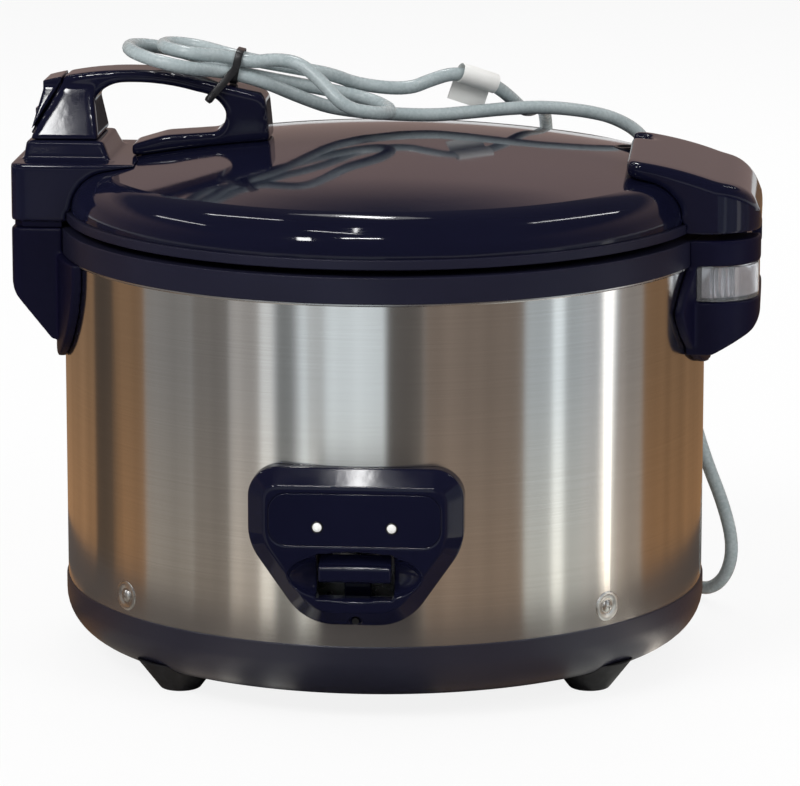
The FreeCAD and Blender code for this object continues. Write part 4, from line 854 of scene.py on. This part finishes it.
sleeve = []
for k in range(SLEEVE_RINGS):
    low, radius = SLEEVE_LOW + SLEEVE_PITCH * k, SLEEVE_RADIUS - SLEEVE_TAPER * k
    sleeve += [(radius - depth, low + height) for depth, height in SLEEVE_RING]
plug = turned("plug_body", PLUG_BODY + sleeve + SLEEVE_END, PLUG_FOOT, Z, X)
stand_for(plug, "plug")
pin_feet = [PLUG_FOOT + X * shift for shift in (-PIN_SPREAD, PIN_SPREAD)]
pins = joined(*[turned("plug_pins", PLUG_PIN, foot, Z, X, PIN_STEPS) for foot in pin_feet])
ride_with(pins, "plug")
print("plug:", len(plug.data.polygons), "faces, pins:", len(pins.data.polygons))

# %% [markdown]
# The cord starts on the drum and ends on the lid, which opens. A cord that rode on one of them would tear away
# from the other, so it blends: up to a first place it stays with the drum, from a second one it goes with the
# lid, and in between it bends.

# %% Hang the cord between the drum and the lid
BLEND_START = (0.178, 0.127, 0.170)
BLEND_END = (0.1145, 0.127, 0.2335)
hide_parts("cord_riser", "cord_lid_run", "cord_hank", "cord_tail")
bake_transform(cord, "cooker_body", "lid", start=BLEND_START, end=BLEND_END)
print("the cord bends between", BLEND_START, "and", BLEND_END)

# %% [markdown]
# Moulded parts have no razor edges. The light that runs along a rounded edge is what makes them look moulded.
# Each of these pieces starts as a copy of its CAD piece: the loose triangles are joined, the flat faces are
# made whole, and a Bevel modifier rounds every edge that turns by more than a set angle.

# %% Round the moulded edges
EDGE_RADII = {
    "panel_plate": 0.0005, "cook_lever": 0.0010, "upper_ring": 0.0008, "lid_flange": 0.0008,
    "base_tray": 0.0008, "inlet_cover": 0.0008, "rubber_feet": 0.0010, "dew_collector": 0.0006,
}
BEVEL_ANGLE = math.radians(28)
for node, radius in EDGE_RADII.items():
    moulded = node_copy(node)
    apply_modifier(
        moulded, "BEVEL", width=radius, segments=3, limit_method="ANGLE", angle_limit=BEVEL_ANGLE,
        use_clamp_overlap=False, miter_outer="MITER_ARC",
    )
    smooth(moulded)
    # Large flat faces take their own direction over their whole width, so that they mirror like flat ones
    apply_modifier(moulded, "WEIGHTED_NORMAL", keep_sharp=True)
    stand_for(moulded, node)
print("rounded", len(EDGE_RADII), "pieces")

# %% [markdown]
# The grip, the covers and the brackets are full of edges that meet at odd angles, where a Bevel would tear.
# They are wrapped in a fine net of even squares instead, with a voxel Remesh, and a few rounds of smoothing
# then melt all their edges alike. The hood over the hinge is much rounder above than at its rim, so it gets
# more rounds there.

# %% Melt the edges of the large mouldings
# Each piece: the width of its squares and the rounds of smoothing
MELTED = {
    "handle_grip": (0.0008, 60), "latch_housing": (0.0009, 24), "latch_lever": (0.0005, 16),
    "hinge_cover": (0.0009, 12), "latch_bracket": (0.0009, 14), "hinge_bracket": (0.0009, 14),
    "control_panel": (0.0007, 6),
}
SMOOTH_FACTOR = 0.5
HOOD_RIM = 0.286
HOOD_ROUNDS = 150
# A pad on the back of the latch lever fills the slit to the post: its two ends, its width and its thickness
PAD = Vector((-0.2197, 0, 0.3230)), Vector((-0.2011, 0, 0.3564))
PAD_WIDTH, PAD_THICKNESS = 0.026, 0.0016
for node, (square, rounds) in MELTED.items():
    moulded = node_copy(node)
    if node == "latch_lever":
        moulded = joined(moulded, ribbon("lever_pad", PAD, Y * PAD_WIDTH, PAD_THICKNESS))
    apply_modifier(moulded, "REMESH", mode="VOXEL", voxel_size=square)
    apply_modifier(moulded, "SMOOTH", factor=SMOOTH_FACTOR, iterations=rounds)
    if node == "hinge_cover":
        upper = moulded.vertex_groups.new(name="upper")
        upper.add([v.index for v in moulded.data.vertices if v.co.z > HOOD_RIM], 1, "REPLACE")
        apply_modifier(
            moulded, "SMOOTH", factor=SMOOTH_FACTOR, iterations=HOOD_ROUNDS, vertex_group=upper.name
        )
    select_only(moulded)
    bpy.ops.object.shade_smooth()
    stand_for(moulded, node)
    print(node, "melted into", len(moulded.data.polygons), "faces")

# %% [markdown]
# The handle's block ends four millimetres above the bracket. A lip under the block closes that slit, so that it
# shows as a dark line and no light comes through. It could be drawn out of the block's own mesh, but a thin
# ribbon along the block's outline is quicker to fit. It goes up with the lid.

# %% Lip under the handle's block
LIP_MIDDLE = 0.2726
LIP_HEIGHT = 0.0042
LIP_THICKNESS = 0.0014
LIP_PLAN = [
    (-0.196, -0.0495), (-0.220, -0.0495), (-0.2255, -0.044), (-0.2255, 0.044), (-0.220, 0.0495),
    (-0.196, 0.0495),
]
lip_spots = [Vector((x, y, LIP_MIDDLE)) for x, y in LIP_PLAN]
lip = ribbon("housing_lip", lip_spots, Z * LIP_HEIGHT, LIP_THICKNESS)
ride_with(lip, "latch_housing")
print("lip:", len(lip.data.polygons), "faces")

# %% [markdown]
# The clear cup has thick ribs down its slanted corner, which bend the light into bright and dark stripes. Ribs
# that are only a bump in the material wouldn't bend light that way, so each one is a slim rod with rounded
# ends. All are turned from one outline and set along the line from one end of the corner towards the other.

# %% Ribs of the clear cup
RIB = [(0, 0), (0.0010, 0.0002), (0.0013, 0.0008), (0.0013, 0.0182), (0.0010, 0.0188), (0, 0.0190)]
RIB_STEPS = 20
RIB_SHARES = (0.08, 0.16, 0.30, 0.42, 0.47)
CORNER_START = Vector((0.2027, -0.0630, 0.2335))
CORNER_END = Vector((0.2337, -0.0320, 0.2335))
rib_feet = [CORNER_START.lerp(CORNER_END, share) for share in RIB_SHARES]
ribs = joined(*[turned("collector_ribs", RIB, foot, Z, X, RIB_STEPS) for foot in rib_feet])
ride_with(ribs, "dew_collector")
print("ribs:", len(ribs.data.polygons), "faces")

# %% [markdown]
# A spring under the sensor's cap gives way when the pot is put in. A rigid spring would be cut by the cap, and
# one that moved with the cap would leave its seat. Here it is only a smoothed copy of its CAD piece, which
# takes the piece's place and gets a mesh of its own.

# %% Spring of the sensor
low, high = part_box("sensor_spring")
spring = node_copy("sensor_spring")
smooth(spring)
stand_for(spring, "sensor_spring")
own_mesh(spring)
print("spring:", len(spring.data.polygons), "faces")

# %% [markdown]
# Where the drum goes up into the ring, its folded edge shows as a thin bright line. A painted line would be as
# bright from every side, while a real fold catches the light only where it curves towards it. So it is a bead
# with a rounded outline, turned once round the drum.

# %% Folded edge of the drum
FOLD = [
    (0.1994, 0.2524), (0.2008, 0.2526), (0.2013, 0.2532), (0.2012, 0.2540), (0.1994, 0.2540), (0.1994, 0.2524),
]
FOLD_STEPS = 180
drum_fold = turned("drum_fold", FOLD, Vector(), Z, X, FOLD_STEPS)
ride_with(drum_fold, "body_shell")
print("folded edge:", len(drum_fold.data.polygons), "faces")

# %% [markdown]
# Four screws hold the base in the drum. Each has a domed head with a cross in it, and sits in a small cup that
# catches the light. The head and the cup are turned, the cross is cut by a Boolean, and the finished screw is
# copied round the drum.

# %% Screws of the drum
SCREW_LEVEL = 0.059
# Where a screw sits on the drum, seen from above: how far to the side, and how far to the front or rear
SCREW_SIDE, SCREW_REAR = 0.1463, 0.1364
SCREW_HEAD = [
    (0, 0.0020), (0.0013, 0.0019), (0.0025, 0.0015), (0.0034, 0.0008), (0.0038, 0.0001), (0.0038, -0.0006),
]
SCREW_CUP = [
    (0.0092, -0.0003), (0.0090, 0.0003), (0.0082, 0.0007), (0.0066, 0.0005), (0.0050, 0.0001),
    (0.0042, -0.0004),
]
# The cutter of the cross is centred on the top of the head, so half its height cuts
CROSS_LEVEL = 0.0020
CROSS_LENGTH, CROSS_WIDTH, CROSS_HEIGHT = 0.0050, 0.0009, 0.0014
screw_foot = Vector((DRUM_RADIUS, 0, SCREW_LEVEL))
head = turned("drum_screw", SCREW_HEAD, screw_foot, X, Z)
for length, width in ((CROSS_LENGTH, CROSS_WIDTH), (CROSS_WIDTH, CROSS_LENGTH)):
    bpy.ops.object.select_all(action="DESELECT")
    bpy.ops.mesh.primitive_cube_add(size=1, location=screw_foot + X * CROSS_LEVEL)
    cutter = bpy.context.object
    cutter.scale = (CROSS_HEIGHT, length, width)
    apply_modifier(head, "BOOLEAN", object=cutter, operation="DIFFERENCE")
    bpy.data.objects.remove(cutter)
screw = joined(head, turned("screw_cup", SCREW_CUP, screw_foot, X, Z))
smooth(screw)
screw_angle = math.atan2(SCREW_REAR, SCREW_SIDE)
screws = []
for angle in (screw_angle, math.pi - screw_angle, math.pi + screw_angle, -screw_angle):
    select_only(screw)
    bpy.ops.object.duplicate()
    copy = bpy.context.object
    copy.rotation_euler = (0, 0, angle)
    bpy.ops.object.transform_apply(location=True, rotation=True, scale=True)
    screws.append(copy)
bpy.data.objects.remove(screw)
drum_screws = joined(*screws)
drum_screws.name = "drum_screws"
stand_for(drum_screws, "shell_screws")
print("screws:", len(drum_screws.data.polygons), "faces")

# %% [markdown]
# Two lamps on the panel show what the cooker is doing. Each is a small white dome in a slim dark ring. Half a
# sphere would stand out too far, so both are turned from short outlines, which lets the dome be low and the
# ring thin.

# %% Lamps of the panel
LAMP_SPREAD = 0.022
LAMP_LEVEL = 0.1223
PLATE_FACE = -0.212
LAMP_STEPS = 32
LENS = [(0, 0.0012), (0.0012, 0.0011), (0.0021, 0.0008), (0.0027, 0.0003), (0.0029, -0.0008), (0, -0.0008)]
LAMP_RING = [
    (0.0029, -0.0008), (0.0029, 0.0003), (0.0031, 0.0005), (0.0034, 0.0003), (0.0035, -0.0008),
    (0.0029, -0.0008),
]
spots = [Vector((side * LAMP_SPREAD, PLATE_FACE, LAMP_LEVEL)) for side in (-1, 1)]
lenses = joined(*[turned("lamp_lenses", LENS, spot, -Y, X, LAMP_STEPS) for spot in spots])
lamp_rings = joined(*[turned("lamp_rings", LAMP_RING, spot, -Y, X, LAMP_STEPS) for spot in spots])
stand_for(lenses, "indicator_lamps")
ride_with(lamp_rings, "indicator_lamps")
print("lamps:", len(lenses.data.polygons), "and", len(lamp_rings.data.polygons), "faces")

# %% [markdown]
# Above and below the steel drum, the cooker is navy plastic. The lid, the grip and the panel are polished:
# their colour drifts a little, their gloss is uneven, and a low bump gives the faint ripple that polished
# mouldings have. The ring, the brackets and the base are grained: one fine noise drives both the roughness and
# the bump. The brackets and the lip under the handle's block have painted shade: a darker colour and less gloss
# than the ring's, though they are the same plastic. A single flat colour with one gloss would look like paint.

# %% Navy plastics
GLOSSY_TONES = (0.0044, 0.0048, 0.0150), (0.0060, 0.0064, 0.0190)
MATTE_TONES = (0.0086, 0.0086, 0.0210), (0.0115, 0.0115, 0.0265)
# Painted shade: the matte navy made darker, for the brackets and the lip under the handle's block
SHADED_BLOCK_TONES = (0.00344, 0.003268, 0.0147), (0.0046, 0.00437, 0.01855)


def glossy_navy():
    finish = Finish("glossy_navy", specular_ior_level=0.22)
    cloud = finish.place.noise(scale=9, detail=3).between(0.35, 0.7)
    polish = finish.place.noise(scale=35, detail=4).between(0.3, 0.8)
    ripple = finish.place.noise(scale=160)
    finish.set("Base Color", cloud.blend(*GLOSSY_TONES))
    finish.set("Roughness", polish.from_to(0.05, 0.10))
    finish.set("Normal", ripple.bump(strength=0.03, depth=0.0004))
    return finish


def grained(name, tones, gloss):
    """Plastic with a fine grain, which breaks up its gloss."""
    finish = Finish(name, specular_ior_level=gloss)
    cloud = finish.place.noise(scale=14, detail=3).between(0.3, 0.7)
    grain = finish.place.noise(scale=900)
    finish.set("Base Color", cloud.blend(*tones))
    finish.set("Roughness", grain.from_to(0.33, 0.49))
    finish.set("Normal", grain.bump(strength=0.12, depth=0.0003))
    return finish


def matte_navy():
    return grained("matte_navy", MATTE_TONES, gloss=0.16)


# Painted shade: the ring's grained navy, darker and less glossy, for the brackets and the lip
def block_navy():
    return grained("block_navy", SHADED_BLOCK_TONES, gloss=0.08)


def base_navy():
    return grained("base_navy", MATTE_TONES, gloss=0.6)


# %% [markdown]
# The drum is brushed round its axis, so its scratches are long sideways and very close together upwards. Noise
# that is stretched in that way gives the lines, and the shader's anisotropy makes its reflections longer one
# way than the other. The pot was turned on a lathe and has coarser lines, and plain steel is only a little
# cloudy. A picture of metal would show its own room, and these finishes show the one that the piece stands in.

# %% Steel and aluminium
BRUSH_LINES = (9, 9, 3600)
FINE_LINES = (30, 30, 9000)
LATHE_LINES = (40, 40, 900)
BRUSHED_TONES = (0.66, 0.645, 0.62), (0.72, 0.71, 0.69)
PLAIN_TONES = (0.50, 0.50, 0.50), (0.66, 0.66, 0.65)
POT_TONES = (0.56, 0.56, 0.57), (0.68, 0.68, 0.69)


def brushed_steel():
    finish = Finish("brushed_steel", metallic=1.0, anisotropic=0.7, anisotropic_rotation=0.25)
    lines = finish.place.noise(detail=3, stretch=BRUSH_LINES)
    fine = finish.place.noise(stretch=FINE_LINES)
    wear = finish.place.noise(scale=6, detail=4).between(0.35, 0.75)
    finish.set("Base Color", lines.between(0.3, 0.7).blend(*BRUSHED_TONES))
    finish.set("Roughness", fine * 0.05 + wear * 0.03 + 0.12)
    finish.set("Normal", lines.bump(strength=0.02, depth=0.0002))
    return finish


def plain_steel():
    finish = Finish("plain_steel", metallic=1.0)
    cloud = finish.place.noise(scale=60, detail=3)
    finish.set("Base Color", cloud.blend(*PLAIN_TONES))
    finish.set("Roughness", cloud.from_to(0.18, 0.38))
    return finish


def pot_aluminium():
    finish = Finish("pot_aluminium", metallic=1.0)
    lines = finish.place.noise(stretch=LATHE_LINES)
    finish.set("Base Color", lines.blend(*POT_TONES))
    finish.set("Roughness", lines.from_to(0.27, 0.42))
    return finish


# %% [markdown]
# The feet and the seal are dull rubber with a little dust, and the strap and some small inner parts are black
# plastic. The cord's jacket is a pale blue grey, mottled, with lighter scuffs that are a little rougher. Black
# things differ more in their gloss than in their colour, so each of these finishes also has a noise that breaks
# up its gloss or its surface.

# %% Rubber, black plastic and the cord's jacket
RUBBER_TONES = (0.010, 0.010, 0.012), (0.022, 0.022, 0.025)
BLACK_TONES = (0.006, 0.006, 0.007), (0.013, 0.013, 0.015)
JACKET_TONES = (0.330, 0.388, 0.400), (0.400, 0.458, 0.468)
SCUFF_TONE = (0.46, 0.52, 0.53)
SCUFF_SHARE = 0.35


def black_rubber():
    finish = Finish("black_rubber", roughness=0.7, specular_ior_level=0.3)
    dust = finish.place.noise(scale=120, detail=4).between(0.45, 0.8)
    finish.set("Base Color", dust.blend(*RUBBER_TONES))
    finish.set("Normal", finish.place.noise(scale=700).bump(strength=0.2, depth=0.0003))
    return finish


def black_plastic():
    finish = Finish("black_plastic", specular_ior_level=0.5)
    grain = finish.place.noise(scale=500)
    finish.set("Base Color", grain.blend(*BLACK_TONES))
    finish.set("Roughness", grain.from_to(0.28, 0.48))
    return finish


def cord_jacket():
    finish = Finish("cord_jacket", specular_ior_level=0.45)
    mottle = finish.place.noise(scale=55, detail=3).between(0.3, 0.7)
    scuff = finish.place.noise(scale=420, detail=3).between(0.5, 0.8)
    finish.set("Base Color", (scuff * SCUFF_SHARE).blend(mottle.blend(*JACKET_TONES), SCUFF_TONE))
    finish.set("Roughness", scuff.from_to(0.27, 0.41))
    finish.set("Normal", finish.place.noise(scale=900).bump(strength=0.1, depth=0.0002))
    return finish


# %% [markdown]
# The lamps and the tag are white, with a faint cloud. The cup is clear: nearly all light goes through it, bent
# as in a common clear plastic, and a haze of two pale blues keeps it from looking like perfect glass. A cup
# that was made see-through by its alpha would bend no light at all.

# %% White and clear plastics
WHITE_TONES = (0.80, 0.80, 0.77), (0.90, 0.90, 0.88)
CLEAR_TONES = (0.80, 0.83, 0.88), (0.92, 0.94, 0.96)


def white_plastic():
    finish = Finish("white_plastic", roughness=0.35)
    finish.set("Base Color", finish.place.noise(scale=90, detail=3).blend(*WHITE_TONES))
    return finish


def clear_plastic():
    finish = Finish("clear_plastic", transmission_weight=0.92, ior=1.46, roughness=0.06)
    finish.set("Base Color", finish.place.noise(scale=40, detail=3).blend(*CLEAR_TONES))
    return finish


# %% [markdown]
# Each finish is made once and put on all the pieces of its kind. One list for each finish shows at a glance
# what the cooker is made of, and a change to a finish then reaches all its pieces.

# %% Hand out the finishes
FINISHES = {
    glossy_navy: ["lid_cover", "latch_housing", "handle_grip", "latch_lever", "hinge_cover", "control_panel",
                  "panel_plate", "cook_lever"],
    matte_navy: ["upper_ring", "lid_flange", "inlet_cover"],
    # The brackets and the lip carry painted shade
    block_navy: ["latch_bracket", "hinge_bracket", "housing_lip"],
    base_navy: ["base_tray"],
    brushed_steel: ["body_shell", "inner_lid"],
    plain_steel: ["bottom_plate", "bracket_screws", "cover_screws", "drum_screws", "drum_fold", "plug_pins",
                  "hinge_pin", "latch_pin", "latch_spring", "sensor_spring", "switch_bracket", "switch_pin",
                  "heater_posts", "magnet_rod", "pot_liner", "warming_band", "heating_element",
                  "hinge_knuckle"],
    pot_aluminium: ["inner_pot", "heating_plate", "sensor_cap", "thermostat_housing"],
    black_rubber: ["rubber_feet", "cord_gland", "lid_gasket", "inner_lid_knob"],
    black_plastic: ["cord_strap", "lamp_rings", "micro_switch", "terminal_block", "steam_vent", "panel_screw"],
    cord_jacket: ["mains_cord", "plug_body"],
    white_plastic: ["lamp_lenses", "paper_tag"],
    clear_plastic: ["dew_collector", "collector_ribs"],
}
for make, names in FINISHES.items():
    make().on(*names)
    print(make.__name__, "on", len(names), "pieces")
